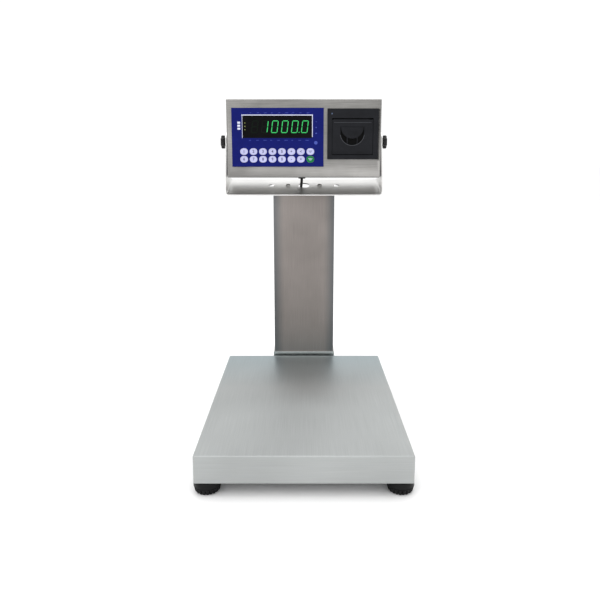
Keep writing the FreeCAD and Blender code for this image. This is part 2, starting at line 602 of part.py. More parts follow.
def make_pivot():
    arm = "(bracket_width / 2)"
    discs = []
    thick = "((bracket_width - house_width) / 2 - bracket_sheet - disc_gap)"
    for side, low in (("left", f"-{arm} + bracket_sheet"), ("right", f"{arm} - bracket_sheet - {thick}")):
        disc = rod((low, PIVOT_Y, PIVOT_Z), "disc_radius", thick, "X")
        bore = rod((f"{low} - past", PIVOT_Y, PIVOT_Z), "knob_stud + hole_gap", f"{thick} + 2 * past", "X")
        discs.append(cut(disc, bore))
        start = f"-{arm} - washer_thickness" if side == "left" else arm
        washer = rod((start, PIVOT_Y, PIVOT_Z), "washer_radius", "washer_thickness", "X")
        eye = rod((f"{start} - past", PIVOT_Y, PIVOT_Z), "knob_stud + pin_gap",
                  "washer_thickness + 2 * past", "X")
        keep(cut(washer, eye), f"knob_washer_{side}")
        keep(star_knob(side), f"knob_{side}")
    keep(group(*discs), "friction_discs")


def star_knob(side):
    """A six-lobed grip with a screw that reaches through the arm into the housing's boss."""
    body = new_body()
    grip = pad(body, circle(body, "XY_Plane", "0", "0", "knob_radius"), "knob_height")
    top = round_off(body, grip, "knob_height / 5",
                    lambda edge: edge.BoundBox.ZMin > number("knob_height") - 1e-3)
    body.Tip = top
    flute = pocket(body, circle(body, "XY_Plane", "knob_radius + knob_flute / 2", "0", "knob_flute"),
                   "knob_height + past", backwards=True)
    around(body, flute, "knob_lobes")
    reach = "(bracket_width - house_width) / 2 + stud_reach + washer_thickness"
    pad(body, circle(body, "XY_Plane", "0", "0", "knob_stud"), reach, backwards=True)
    seat = "bracket_width / 2 + washer_thickness"
    angle, x = ("90", seat) if side == "right" else ("-90", f"-({seat})")
    return place(body, x, PIVOT_Y, PIVOT_Z, (FreeCAD.Vector(0, 1, 0), angle))


def face_box(left, bottom, width, height, front, depth):
    """A block on the indicator's face: left and bottom from the face's centre, front ahead of it."""
    return box((left, f"{FACE_Y} - ({front})", f"{HOUSE_Z} + {bottom}"), (width, depth, height))


def keys():
    """(number, left, bottom) of every key, row by row."""
    places = []
    for row in range(int(number("key_rows"))):
        for column in range(int(number("key_columns"))):
            left = f"(-key_x + {column} * key_pitch - key_width / 2)"
            bottom = f"(-key_z - {row} * key_row_pitch - key_height / 2)"
            places.append((len(places) + 1, left, bottom))
    return places


def make_housing():
    body = new_body()
    half, tall = "house_width / 2", "house_height / 2"
    block = pad(body, outline(body, "XZ_Plane", rectangle(f"-{half}", f"-{tall}", half, tall)),
                "house_depth", backwards=True)
    edges = round_off(body, block, "house_edge",
                      lambda edge: runs_along("Y")(edge) or edge.BoundBox.YMax < 1e-3)
    body.Tip = edges
    place(body, "0", FACE_Y, HOUSE_Z)
    room = box((f"-{half} + house_sheet", f"{FACE_Y} + house_sheet", f"{HOUSE_Z} - {tall} + house_sheet"),
               ("house_width - 2 * house_sheet", "house_depth", "house_height - 2 * house_sheet"))
    rim = box((f"-{half} + house_sheet", f"{HOUSE_REAR} - house_sheet", f"{HOUSE_Z} - {tall} + house_sheet"),
              ("house_width - 2 * house_sheet", "house_sheet", "house_height - 2 * house_sheet"))
    mouth = box((f"-{half} + rear_lip", f"{HOUSE_REAR} - house_sheet - past",
                 f"{HOUSE_Z} - {tall} + rear_lip"),
                ("house_width - 2 * rear_lip", "house_sheet + 2 * past", "house_height - 2 * rear_lip"))
    bosses = [rod((x, PIVOT_Y, PIVOT_Z), "boss_radius", "boss_length", "X")
              for x in (f"-{half} + house_sheet / 2", f"{half} - house_sheet / 2 - boss_length")]
    shell = fuse(cut(body, room), cut(rim, mouth), *bosses)
    axle = rod((f"-{half} - past", PIVOT_Y, PIVOT_Z), "knob_stud + pin_gap", "house_width + 2 * past", "X")
    window = face_box("-window_left + window_recess", "window_bottom + window_recess",
                      "window_width - 2 * window_recess", "window_height - 2 * window_recess",
                      "1", "house_sheet + 2 * past")
    printer = face_box("printer_left + spigot_inset", "-printer_bottom + spigot_inset",
                       "printer_width - 2 * spigot_inset", "printer_height - 2 * spigot_inset",
                       "1", "house_sheet + 2 * past")
    gland = rod(("-cable_x", f"{PIVOT_Y} + cable_back", f"{HOUSE_BOTTOM} - past"),
                "gland_radius - gland_neck", "house_sheet + 2 * past")
    screws = [rod((x, f"{HOUSE_REAR} - house_sheet - past", z), "screw_radius", "house_sheet + 2 * past", "Y")
              for x, z in rear_screws()]
    keep(cut(shell, axle, window, printer, gland, *screws), "indicator_housing")


def rear_screws():
    half, tall = "house_width / 2 - rear_screw_inset", "house_height / 2 - rear_screw_inset"
    return [(x, f"{HOUSE_Z} + {z}") for x in (f"-({half})", "0", half) for z in (f"-({tall})", f"({tall})")]


def make_rear_cover():
    half, tall = "house_width / 2", "house_height / 2"
    frame = box((f"-{half} + house_edge", HOUSE_REAR, f"{HOUSE_Z} - {tall} + house_edge"),
                ("house_width - 2 * house_edge", "gasket", "house_height - 2 * house_edge"))
    middle = box((f"-{half} + house_edge + gasket_width", f"{HOUSE_REAR} - past",
                  f"{HOUSE_Z} - {tall} + house_edge + gasket_width"),
                 ("house_width - 2 * (house_edge + gasket_width)", "gasket + 2 * past",
                  "house_height - 2 * (house_edge + gasket_width)"))
    through = [rod((x, f"{HOUSE_REAR} - past", z), "screw_radius", "gasket + rear_sheet + 2 * past", "Y")
               for x, z in rear_screws()]
    keep(cut(frame, middle, *through), "rear_gasket")
    panel = box((f"-{half} + house_edge", f"{HOUSE_REAR} + gasket", f"{HOUSE_Z} - {tall} + house_edge"),
                ("house_width - 2 * house_edge", "rear_sheet", "house_height - 2 * house_edge"))
    inlet = box(("-inlet_x - inlet_width / 2 + inlet_flange", HOUSE_REAR,
                 f"{HOUSE_Z} - inlet_height / 2 + inlet_flange"),
                ("inlet_width - 2 * inlet_flange", "gasket + rear_sheet + 2 * past",
                 "inlet_height - 2 * inlet_flange"))
    more = [rod((x, f"{HOUSE_REAR} - past", z), "screw_radius", "gasket + rear_sheet + 2 * past", "Y")
            for x, z in rear_screws()]
    keep(cut(panel, inlet, *more), "indicator_rear_cover")
    keep(group(*[fuse(rod((x, f"{HOUSE_REAR} + gasket + rear_sheet", z), "screw_head",
                          "screw_head_height", "Y"),
                      rod((x, f"{HOUSE_REAR} - 2 * house_sheet", z), "screw_radius",
                          "gasket + rear_sheet + 2 * house_sheet", "Y"))
                 for x, z in rear_screws()]), "rear_cover_screws")


def make_label():
    film = face_box("-label_left", "-label_bottom", "label_width", "label_height", "label_thick",
                    "label_thick")
    window = face_box("-window_left", "window_bottom", "window_width", "window_height",
                      "label_thick + past", "window_thick + past")
    light = face_box("-window_left + window_recess", "window_bottom + window_recess",
                     "window_width - 2 * window_recess", "window_height - 2 * window_recess",
                     "label_thick + past", "label_thick + 2 * past")
    holes = [oval(left, bottom, "key_gap", "label_thick + past", "label_thick + 1.5")
             for _, left, bottom in keys()]
    keep(cut(film, window, light, *holes), "keypad_overlay")
    keep(face_box("-window_left", "window_bottom", "window_width", "window_height", "label_thick",
                  "window_thick"), "display_window")
    for which, left, bottom in keys():
        keep(oval(left, bottom, "0", "label_thick + key_proud", "key_thick"), f"key_{which:02d}")


def oval(left, bottom, spread, front, depth):
    """A key's rounded shape, spread outwards by a clearance, from front back by depth."""
    body = new_body()
    plan = rectangle(f"-{spread}", f"-{spread}", f"key_width + {spread}", f"key_height + {spread}")
    cap = pad(body, outline(body, "XZ_Plane", plan), depth, backwards=True)
    body.Tip = round_off(body, cap, f"key_corner + {spread}", runs_along("Y"))
    return place(body, left, f"{FACE_Y} - ({front})", f"{HOUSE_Z} + {bottom}")


def make_electronics():
    digits = [face_box(f"-digit_left + {index} * digit_pitch", "digit_bottom", "digit_width", "digit_height",
                       "-board_gap + digit_thick", "digit_thick") for index in range(int(number("digit_count")))]
    keep(group(*digits), "led_digits")
    keep(face_box("-label_left + 2 * rear_lip", "-label_bottom + rear_lip / 2", "label_width - 3 * rear_lip",
                  "label_height - rear_lip", "-board_gap", "board_thick"), "display_board")
    board = face_box("-label_left", "-label_bottom", "label_width", "label_height",
                     "-house_depth + main_board_back", "board_thick")
    keep(board, "main_board")


def make_printer():
    low, wide, tall = "-printer_bottom", "printer_width", "printer_height"
    bezel = face_box("printer_left", low, wide, tall, "printer_proud", "printer_proud")
    fit = "(spigot_inset + spigot_gap)"
    spigot = face_box(f"printer_left + {fit}", f"{low} + {fit}", f"{wide} - 2 * {fit}", f"{tall} - 2 * {fit}",
                      "0", "spigot_depth")
    opening = face_box("door_left - door_gap", "-door_bottom - door_gap", "door_width + 2 * door_gap",
                       "door_height + door_gap + slot_gap", "printer_proud + past",
                       "printer_proud + spigot_depth + 2 * past")
    lamp = rod(("lamp_x", f"{FACE_Y} - printer_proud - past", f"{HOUSE_Z} + lamp_z"), "lamp_radius",
               "lamp_depth", "Y")
    keep(cut(fuse(bezel, spigot), opening, lamp), "printer_frame")
    outer = "(spigot_inset + spigot_gap)"
    shell = face_box(f"printer_left + {outer}", f"{low} + {outer}", f"{wide} - 2 * {outer}",
                     f"{tall} - 2 * {outer}", "-spigot_depth", "bay_depth")
    inner = f"({outer} + bay_wall)"
    room = face_box(f"printer_left + {inner}", f"{low} + {inner}", f"{wide} - 2 * {inner}",
                    f"{tall} - 2 * {inner}", "-spigot_depth + past", "bay_depth - bay_wall + past")
    keep(cut(shell, room), "printer_bay")


def make_door():
    """A flap hinged along its bottom edge, with a half-round pull and two ears for the platen."""
    front = f"{FACE_Y} - door_proud"
    plate = new_body()
    plan = rectangle("0", "0", "door_width", "door_height")
    slab = pad(plate, outline(plate, "XZ_Plane", plan), "door_thick", backwards=True)
    plate.Tip = round_off(plate, slab, "door_thick / 2 - 0.1",
                          lambda edge: runs_along("X")(edge) and edge.BoundBox.ZMax < 1e-3)
    place(plate, "door_left", front, f"{HOUSE_Z} - door_bottom")
    dish = rod(("pull_x", f"{front} - past", f"{HOUSE_Z} + recess_z"), "recess_radius",
               "recess_depth + past", "Y")
    square = box(("pull_x - recess_radius", f"{front} - past", f"{HOUSE_Z} + recess_z"),
                 ("2 * recess_radius", "recess_depth + past", "pull_top - recess_z"))
    cap = box(("pull_x - 2 * recess_radius", f"{front} - 2", f"{HOUSE_Z} + pull_top"),
              ("4 * recess_radius", "recess_depth + 3", "2 * recess_radius"))
    ears = []
    for x in ("pull_x - platen_width / 2 - ear_thick - door_gap", "pull_x + platen_width / 2 + door_gap"):
        ears.append(box((x, f"{front} + door_thick / 2", f"{HOUSE_Z} + platen_z - platen_radius"),
                        ("ear_thick", "platen_back + 2 * platen_pin + door_proud - door_thick / 2",
                         "2 * platen_radius")))
    bore = rod(("pull_x - platen_width", f"{FACE_Y} + platen_back", f"{HOUSE_Z} + platen_z"),
               "platen_pin + pin_gap", "2 * platen_width", "X")
    hinge = ("pull_x - recess_radius - latch_pin_end", f"{front} + latch_thick / 2",
             f"{HOUSE_Z} + pull_top - latch_gap - latch_thick / 2")
    seat = rod((f"{hinge[0]} - pin_gap", *hinge[1:]), "latch_pin + pin_gap",
               "2 * (recess_radius + latch_pin_end + pin_gap)", "X")
    keep(cut(fuse(plate, *ears), cut(fuse(dish, square), cap), bore, seat), "printer_door")
    disc = rod(("pull_x", front, f"{HOUSE_Z} + pull_top - latch_gap"), "pull_radius - latch_gap",
               "latch_thick", "Y")
    half = cut(disc, box(("pull_x - 2 * pull_radius", f"{front} - past", f"{HOUSE_Z} + pull_top - latch_gap"),
                         ("4 * pull_radius", "latch_thick + 2 * past", "2 * pull_radius")))
    keep(fuse(half, rod(hinge, "latch_pin", "2 * (recess_radius + latch_pin_end)", "X")), "printer_latch")
    roller = rod(("pull_x - platen_width / 2", f"{FACE_Y} + platen_back", f"{HOUSE_Z} + platen_z"),
                 "platen_radius", "platen_width", "X")
    pin = rod(("pull_x - platen_width / 2 - ear_thick - door_gap", f"{FACE_Y} + platen_back",
               f"{HOUSE_Z} + platen_z"), "platen_pin", "platen_width + 2 * (ear_thick + door_gap)", "X")
    keep(fuse(roller, pin), "platen_roller")
    middle = "(printer_left + printer_width / 2)"
    spot = (f"{middle} - paper_width / 2", f"{FACE_Y} + paper_back", f"{HOUSE_Z} + paper_z")
    roll = rod(spot, "paper_radius", "paper_width", "X")
    core = rod((f"{spot[0]} - past", spot[1], spot[2]), "paper_core", "paper_width + 2 * past", "X")
    keep(cut(roll, core), "paper_roll")


def make_fittings():
    x, y = "-cable_x", f"{PIVOT_Y} + cable_back"
    flange = rod((x, y, f"{HOUSE_BOTTOM} - gland_drop"), "gland_radius", "gland_drop")
    neck = rod((x, y, HOUSE_BOTTOM), "gland_radius - gland_neck - hole_gap", "house_sheet")
    nut = hexagon((x, y, f"{HOUSE_BOTTOM} + house_sheet"), "gland_radius + past", "gland_nut")
    bore = rod((x, y, f"{HOUSE_BOTTOM} - gland_drop - past"), "cable_radius + hole_gap",
               "gland_drop + house_sheet + gland_nut + 2 * past")
    inlet = box(("-inlet_x - inlet_width / 2", f"{HOUSE_REAR} + gasket + rear_sheet",
                 f"{HOUSE_Z} - inlet_height / 2"), ("inlet_width", "inlet_depth / 3", "inlet_height"))
    tail = box(("-inlet_x - inlet_width / 2 + inlet_flange + hole_gap", f"{HOUSE_REAR} - inlet_depth",
                f"{HOUSE_Z} - inlet_height / 2 + inlet_flange + hole_gap"),
               ("inlet_width - 2 * (inlet_flange + hole_gap)", "inlet_depth + gasket + rear_sheet",
                "inlet_height - 2 * (inlet_flange + hole_gap)"))
    hole = box(("-inlet_x - inlet_width / 2 + inlet_wall", f"{HOUSE_REAR} - inlet_depth / 2",
                f"{HOUSE_Z} - inlet_height / 2 + inlet_wall"),
               ("inlet_width - 2 * inlet_wall", "3 * inlet_depth", "inlet_height - 2 * inlet_wall"))
    keep(group(cut(fuse(flange, neck, nut), bore), cut(fuse(inlet, tail), hole)), "cable_glands")


def cable(label, points):
    """A round cable of straight runs joined by tangent arcs, each as large as its runs allow."""
    spots = [FreeCAD.Vector(*[number(part) for part in point]) for point in points]
    edges, start = [], spots[0]
    for before, here, after in zip(spots, spots[1:], spots[2:]):
        come, leave = (here - before).normalize(), (after - here).normalize()
        shorter = min((here - before).Length, (after - here).Length)
        back = BEND_SHARE * shorter
        turn = come.getAngle(leave)
        entry, leaving = here - come * back, here + leave * back
        sag = back / math.tan(turn / 2) * (1 / math.cos(turn / 2) - 1)
        middle = here + (leave - come).normalize() * sag
        edges += [Part.LineSegment(start, entry).toShape(), Part.Arc(entry, middle, leaving).toShape()]
        start = leaving
    edges.append(Part.LineSegment(start, spots[-1]).toShape())
    path = Part.Wire(edges)
    heading = (spots[1] - spots[0]).normalize()
    ring = Part.Wire([Part.Circle(spots[0], heading, number("cable_radius")).toShape()])
    item = doc.addObject("Part::Feature", "Cable")
    item.Shape = path.makePipeShell([ring], True, False)
    keep(item, label)
    ideal = math.pi * number("cable_radius") ** 2 * path.Length
    print(label, "length", round(path.Length, 1), "volume ratio", round(item.Shape.Volume / ideal, 4))


def make_cables():
    """The cell's lead runs beside the cell, through the rear skirt and up the column to the bracket;
    the indicator's lead carries on from there through the slot into the gland."""
    cell_z = f"{CELL_BOTTOM} + cell_height / 4"
    cell_y = f"{PLATFORM_Y} - cell_length / 4"
    inside = f"{COLUMN_FRONT} + column_depth / 2"
    top = f"({plane_z(COLUMN_FRONT, 'plate_drop')} - cover_drop)"
    exit_y = f"{PIVOT_Y} + cable_back"
    cable("load_cell_cable", [
        ("cell_width / 2", cell_y, cell_z),
        ("cable_side", cell_y, cell_z),
        ("cable_side + cable_sway", PLATFORM_Y, "cable_z"),
        ("cable_side", f"{PLATFORM_Y} + pan_depth / 4", "cable_z"),
        ("cable_side", f"{COLUMN_FRONT} - column_gap", "cable_z + past / 2"),
        ("cable_side", inside, "cable_z + past"),
        ("cable_side / 2", f"{inside} - cable_sway", "pan_top + cable_z / 2"),
        ("-cable_x", inside, f"({top} + pan_top) / 2"),
        ("-cable_x - cable_sway", f"{inside} - past", f"{top} - 2 * cable_z"),
        ("-cable_x", exit_y, f"{top} - cable_z / 2"),
        ("-cable_x", exit_y, top)])
    cable("indicator_cable", [
        ("-cable_x", exit_y, top),
        ("-cable_x", exit_y, f"{top} + cable_z / 3"),
        ("-cable_x - cable_sway", f"{exit_y} - 2 * cable_sway", f"{top} + 0.9 * cable_z"),
        ("-cable_x", exit_y, f"{HOUSE_BOTTOM} - gland_drop - gland_nut"),
        ("-cable_x", exit_y, f"{HOUSE_BOTTOM} + house_sheet + gland_nut")])


make_base_frame()
make_feet()
make_load_cell()
make_top_frame()
make_platform_pan()
make_column()
make_column_cover()
make_column_mount()
make_bracket()
make_pivot()
make_housing()
make_rear_cover()
make_label()
make_electronics()
make_printer()
make_door()
make_fittings()
make_cables()

doc.recompute()
for item in doc.Objects:
    if "Invalid" in item.State or "Error" in item.State:
        raise ValueError(f"{item.Label}: {item.State}")
for item in sub_parts:
    if item.Shape.isNull() or not item.Shape.isValid():
        raise ValueError(f"{item.Label}: its shape is null or invalid")
os.makedirs("parts", exist_ok=True)
for item in sub_parts:
    item.Shape.exportStep(f"parts/{item.Label}.step")
print(len(sub_parts), "sub-parts written")
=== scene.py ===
import json
import math

import bmesh
import bpy
from mathutils import Matrix, Vector


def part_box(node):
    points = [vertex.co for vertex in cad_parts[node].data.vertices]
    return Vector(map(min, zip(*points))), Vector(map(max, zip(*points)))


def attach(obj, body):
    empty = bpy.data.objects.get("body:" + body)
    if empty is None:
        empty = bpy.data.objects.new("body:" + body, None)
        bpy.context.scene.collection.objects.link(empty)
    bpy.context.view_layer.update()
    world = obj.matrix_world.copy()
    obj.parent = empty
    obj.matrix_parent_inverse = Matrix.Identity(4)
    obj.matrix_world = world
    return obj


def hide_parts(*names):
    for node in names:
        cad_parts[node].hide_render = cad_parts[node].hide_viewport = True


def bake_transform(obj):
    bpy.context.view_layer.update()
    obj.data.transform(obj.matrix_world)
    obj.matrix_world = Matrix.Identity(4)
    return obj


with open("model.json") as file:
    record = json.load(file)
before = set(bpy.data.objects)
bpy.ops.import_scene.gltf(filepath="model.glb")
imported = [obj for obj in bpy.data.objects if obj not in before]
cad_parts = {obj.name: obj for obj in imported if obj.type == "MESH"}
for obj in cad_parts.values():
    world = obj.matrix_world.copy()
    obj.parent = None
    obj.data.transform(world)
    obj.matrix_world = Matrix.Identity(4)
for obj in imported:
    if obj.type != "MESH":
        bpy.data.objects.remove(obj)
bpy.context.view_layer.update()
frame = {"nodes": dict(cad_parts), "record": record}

# Looks of a stainless bench scale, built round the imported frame.  Metres throughout.
MM = 0.001
INK = 0.03 * MM  # how far printing stands proud of what it is printed on
SAME_POINT = 2e-6
BEHAVIOUR = frame["record"]["behaviour"]
BODY_OF = {node: body for body, nodes in BEHAVIOUR["bodies"].items() for node in nodes}
SLOT_OF = {part["node"]: part["material_slot"] for part in frame["record"]["subparts"]}

LOW = {node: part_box(node)[0] for node in frame["nodes"]}
HIGH = {node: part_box(node)[1] for node in frame["nodes"]}


def middle(node):
    return (LOW[node] + HIGH[node]) / 2


# ---------------------------------------------------------------- materials

class Maker:
    """A Principled material with short ways to add noise, ramps and bump to it."""

    def __init__(self, name, **sockets):
        self.material = bpy.data.materials.new(name)
        self.material.use_nodes = True
        self.tree = self.material.node_tree
        self.shader = self.tree.nodes["Principled BSDF"]
        for socket, value in sockets.items():
            self.shader.inputs[socket.replace("_", " ")].default_value = value
        self.place = self.tree.nodes.new("ShaderNodeTexCoord").outputs["Object"]

    def link(self, source, target):
        self.tree.links.new(source, target)

    def node(self, kind, **settings):
        node = self.tree.nodes.new(kind)
        for key, value in settings.items():
            setattr(node, key, value)
        return node

    def noise(self, scale, detail=3.0, stretch=(1, 1, 1), rough=0.55):
        mapping = self.node("ShaderNodeMapping")
        mapping.inputs["Scale"].default_value = stretch
        self.link(self.place, mapping.inputs["Vector"])
        noise = self.node("ShaderNodeTexNoise")
        noise.inputs["Scale"].default_value = scale
        noise.inputs["Detail"].default_value = detail
        noise.inputs["Roughness"].default_value = rough
        self.link(mapping.outputs["Vector"], noise.inputs["Vector"])
        return noise.outputs["Fac"]

    def grain(self, scale, along, detail=4, rough=0.6):
        """Stretched noise along an axis, turned aside on the faces that look along it."""
        main = self.noise(scale, detail, GRAIN[along], rough)
        aside = self.noise(scale, detail, GRAIN[ACROSS[along]], rough)
        parts = self.node("ShaderNodeSeparateXYZ")
        self.link(self.tree.nodes["Texture Coordinate"].outputs["Normal"], parts.inputs["Vector"])
        size = self.node("ShaderNodeMath", operation="ABSOLUTE")
        self.link(parts.outputs[along], size.inputs[0])
        facing = self.node("ShaderNodeMath", operation="GREATER_THAN")
        facing.inputs[1].default_value = FACING
        self.link(size.outputs["Value"], facing.inputs[0])
        choice = self.node("ShaderNodeMix", data_type="FLOAT")
        self.link(facing.outputs["Value"], choice.inputs["Factor"])
        self.link(main, choice.inputs["A"])
        self.link(aside, choice.inputs["B"])
        return choice.outputs["Result"]

    def ramp(self, source, low, high, start=0.35, end=0.65):
        ramp = self.node("ShaderNodeValToRGB")
        ramp.color_ramp.elements[0].position = start
        ramp.color_ramp.elements[1].position = end
        ramp.color_ramp.elements[0].color = low
        ramp.color_ramp.elements[1].color = high
        self.link(source, ramp.inputs["Fac"])
        return ramp.outputs["Color"]

    def span(self, source, low, high, start=0.3, end=0.7):
        span = self.node("ShaderNodeMapRange")
        for socket, value in (("From Min", start), ("From Max", end), ("To Min", low), ("To Max", high)):
            span.inputs[socket].default_value = value
        self.link(source, span.inputs["Value"])
        return span.outputs["Result"]

    def mix(self, kind, first, second, amount):
        mix = self.node("ShaderNodeMix", data_type="RGBA", blend_type=kind)
        mix.inputs["Factor"].default_value = amount
        self.link(first, mix.inputs["A"])
        self.link(second, mix.inputs["B"])
        return mix.outputs["Result"]

    def colour(self, source):
        self.link(source, self.shader.inputs["Base Color"])

    def roughness(self, source):
        self.link(source, self.shader.inputs["Roughness"])

    def bump(self, source, strength, distance=0.0002):
        bump = self.node("ShaderNodeBump")
        bump.inputs["Strength"].default_value = strength
        bump.inputs["Distance"].default_value = distance
        self.link(source, bump.inputs["Height"])
        before = self.shader.inputs["Normal"]
        if before.is_linked:
            self.link(before.links[0].from_socket, bump.inputs["Normal"])
        self.link(bump.outputs["Normal"], before)


def shade(colour, factor):
    """A colour made darker or lighter, with full alpha."""
    return tuple(min(1.0, part * factor) for part in colour) + (1,)


DRAWN = 0.012  # how much longer than wide a grain line is, as a share
GRAIN = {"X": (DRAWN, 1, 1), "Y": (1, DRAWN, 1), "Z": (1, 1, DRAWN)}
ACROSS = {"X": "Y", "Y": "X", "Z": "X"}
FACING = 0.75  # a face whose normal has this share along the grain has its grain turned
# painted shade with a bluish reflection, laid on the column's steel towards its folded sides
PAINTED_EDGE_SHADE = (0.5, 0.58, 0.64, 1)
# painted reflection of the column, darkening and cooling the pan towards the rear
PAINTED_REAR_REFLECTION = (0.74, 0.84, 0.88, 1)
WHITE = (1, 1, 1, 1)


def brushed(name, colour, along, low=0.24, high=0.4, contrast=0.1, depth=0.25, cloud=0.05, spread=14,
            edge=None):
    """Brushed stainless steel: fine lines along one axis over slow clouds of tone, a few scratches.

    edge gives the half widths between which a painted shade with a bluish reflection darkens the steel
    towards its folded sides."""
    made = Maker(name, Metallic=1.0)
    lines = made.grain(1500, along)
    clouds = made.noise(spread, 3, rough=0.5)
    tone = made.ramp(lines, shade(colour, 1 - contrast), shade(colour, 1 + contrast))
    mist = made.ramp(clouds, shade((1, 1, 1), 1 - cloud), WHITE)
    made.colour(made.mix("MULTIPLY", tone, mist, 1.0))
    made.roughness(made.span(lines, low, high))
    made.bump(lines, depth, 0.00006)
    scratches = made.grain(260, along, 2, 0.4)
    made.bump(made.span(scratches, 0, 1, 0.66, 0.72), 0.12, 0.00008)
    # painted shade and bluish reflection: the colour darkens and cools towards the folded sides
    if edge:
        sides = made.node("ShaderNodeSeparateXYZ")
        made.link(made.place, sides.inputs["Vector"])
        reach = made.node("ShaderNodeMath", operation="ABSOLUTE")
        made.link(sides.outputs["X"], reach.inputs[0])
        edge_shade = made.ramp(reach.outputs["Value"], WHITE, PAINTED_EDGE_SHADE, *edge)
        made.colour(made.mix("MULTIPLY", made.shader.inputs["Base Color"].links[0].from_socket, edge_shade, 1.0))
    return made.material


def satin(name, colour, low=0.26, high=0.36, grain=900, cloud=0.12, wear_and_reflection_depths=(-0.1, 0.15)):
    """Fine satin steel with slow clouds, as on a short-brushed pan.

    It is dulled by use towards the front and smoother behind, between the two depths of its last argument;
    behind, its colour is painted darker and cooler as a reflection of the column.
    """
    made = Maker(name, Metallic=1.0)
    fine = made.grain(grain, "Y", 5, 0.65)
    clouds = made.noise(7, 1.5, rough=0.4)
    tone = made.ramp(fine, shade(colour, 0.95), shade(colour, 1.04))
    mist = made.ramp(clouds, shade((1, 1, 1), 1 - cloud), WHITE, 0.3, 0.7)
    parts = made.node("ShaderNodeSeparateXYZ")
    made.link(made.place, parts.inputs["Vector"])
    # painted reflection of the column: the colour darkens and cools towards the rear
    rear_reflection = made.ramp(parts.outputs["Y"], WHITE, PAINTED_REAR_REFLECTION, wear_and_reflection_depths[0] + 0.1, wear_and_reflection_depths[1])
    made.colour(made.mix("MULTIPLY", made.mix("MULTIPLY", tone, mist, 1.0), rear_reflection, 1.0))
    use = made.span(parts.outputs["Y"], high, low, *wear_and_reflection_depths)
    patchy = made.node("ShaderNodeMath", operation="MULTIPLY_ADD")
    patchy.inputs[1].default_value = 0.06
    made.link(clouds, patchy.inputs[0])
    made.link(use, patchy.inputs[2])
    made.roughness(patchy.outputs["Value"])
    made.bump(fine, 0.16, 0.00006)
    return made.material


def moulded(name, colour, low=0.42, high=0.6, grain=1800, depth=0.35, metallic=0.0, wear=1.6, gloss=0.28):
    """Moulded plastic or rubber: spark texture, slow tone change and paler handling marks."""
    made = Maker(name, Metallic=metallic, Specular_IOR_Level=gloss)
    fine = made.noise(grain, 3)
    slow = made.noise(45, 4)
    marks = made.noise(160, 5, rough=0.7)
    tone = made.ramp(slow, shade(colour, 0.85), shade(colour, 1.15))
    scuffs = made.ramp(marks, WHITE, (wear, wear, wear, 1), 0.6, 0.8)
    made.colour(made.mix("MULTIPLY", tone, scuffs, 1.0))
    made.roughness(made.span(slow, low, high))
    made.bump(fine, depth, 0.00008)
    return made.material


def membrane(name, colour, low=0.28, high=0.4):
    """Printed polyester film: very fine velvet texture and a faint orange peel."""
    made = Maker(name, Specular_IOR_Level=0.1)
    velvet = made.noise(4000, 2)
    slow = made.noise(60, 3)
    made.colour(made.ramp(slow, shade(colour, 0.93), shade(colour, 1.07)))
    made.roughness(made.span(slow, low, high))
    made.bump(velvet, 0.12, 0.00004)
    made.bump(made.noise(500, 2), 0.06, 0.00006)
    return made.material


def glowing(name, colour, strength):
    """A lit lens or segment: its own light over a faint tone of its own."""
    made = Maker(name, Roughness=0.4, Emission_Strength=strength)
    made.shader.inputs["Emission Color"].default_value = colour + (1,)
    made.colour(made.ramp(made.noise(900, 2), shade(colour, 0.5), shade(colour, 0.8)))
    return made.material


def plated(name, colour, low=0.14, high=0.3):
    """Zinc plate: bright with a faint mottled passivation."""
    made = Maker(name, Metallic=1.0)
    mottle = made.noise(420, 4, rough=0.6)
    made.colour(made.ramp(mottle, shade(colour, 0.86), shade(colour, 1.08)))
    made.roughness(made.span(mottle, low, high))
    made.bump(made.noise(1400, 3), 0.1, 0.00005)
    return made.material


def window_film(name):
    """A black acrylic window: satin against glare, with faint wipe marks."""
    made = Maker(name, Specular_IOR_Level=0.07)
    made.colour(made.ramp(made.noise(70, 3), (0.0016, 0.0015, 0.002, 1), (0.003, 0.0028, 0.0035, 1)))
    made.roughness(made.span(made.noise(130, 5, (0.3, 1, 1)), 0.24, 0.4))
    return made.material


def circuit(name):
    """A lacquered green board with square tracks."""
    made = Maker(name, Roughness=0.35, Coat_Weight=0.4)
    tracks = made.node("ShaderNodeTexVoronoi", feature="DISTANCE_TO_EDGE", distance="MANHATTAN")
    tracks.inputs["Scale"].default_value = 220
    made.link(made.place, tracks.inputs["Vector"])
    made.colour(made.ramp(tracks.outputs["Distance"], (0.01, 0.1, 0.04, 1), (0.02, 0.2, 0.08, 1), 0.03, 0.06))
    made.bump(tracks.outputs["Distance"], 0.2, 0.0001)
    return made.material


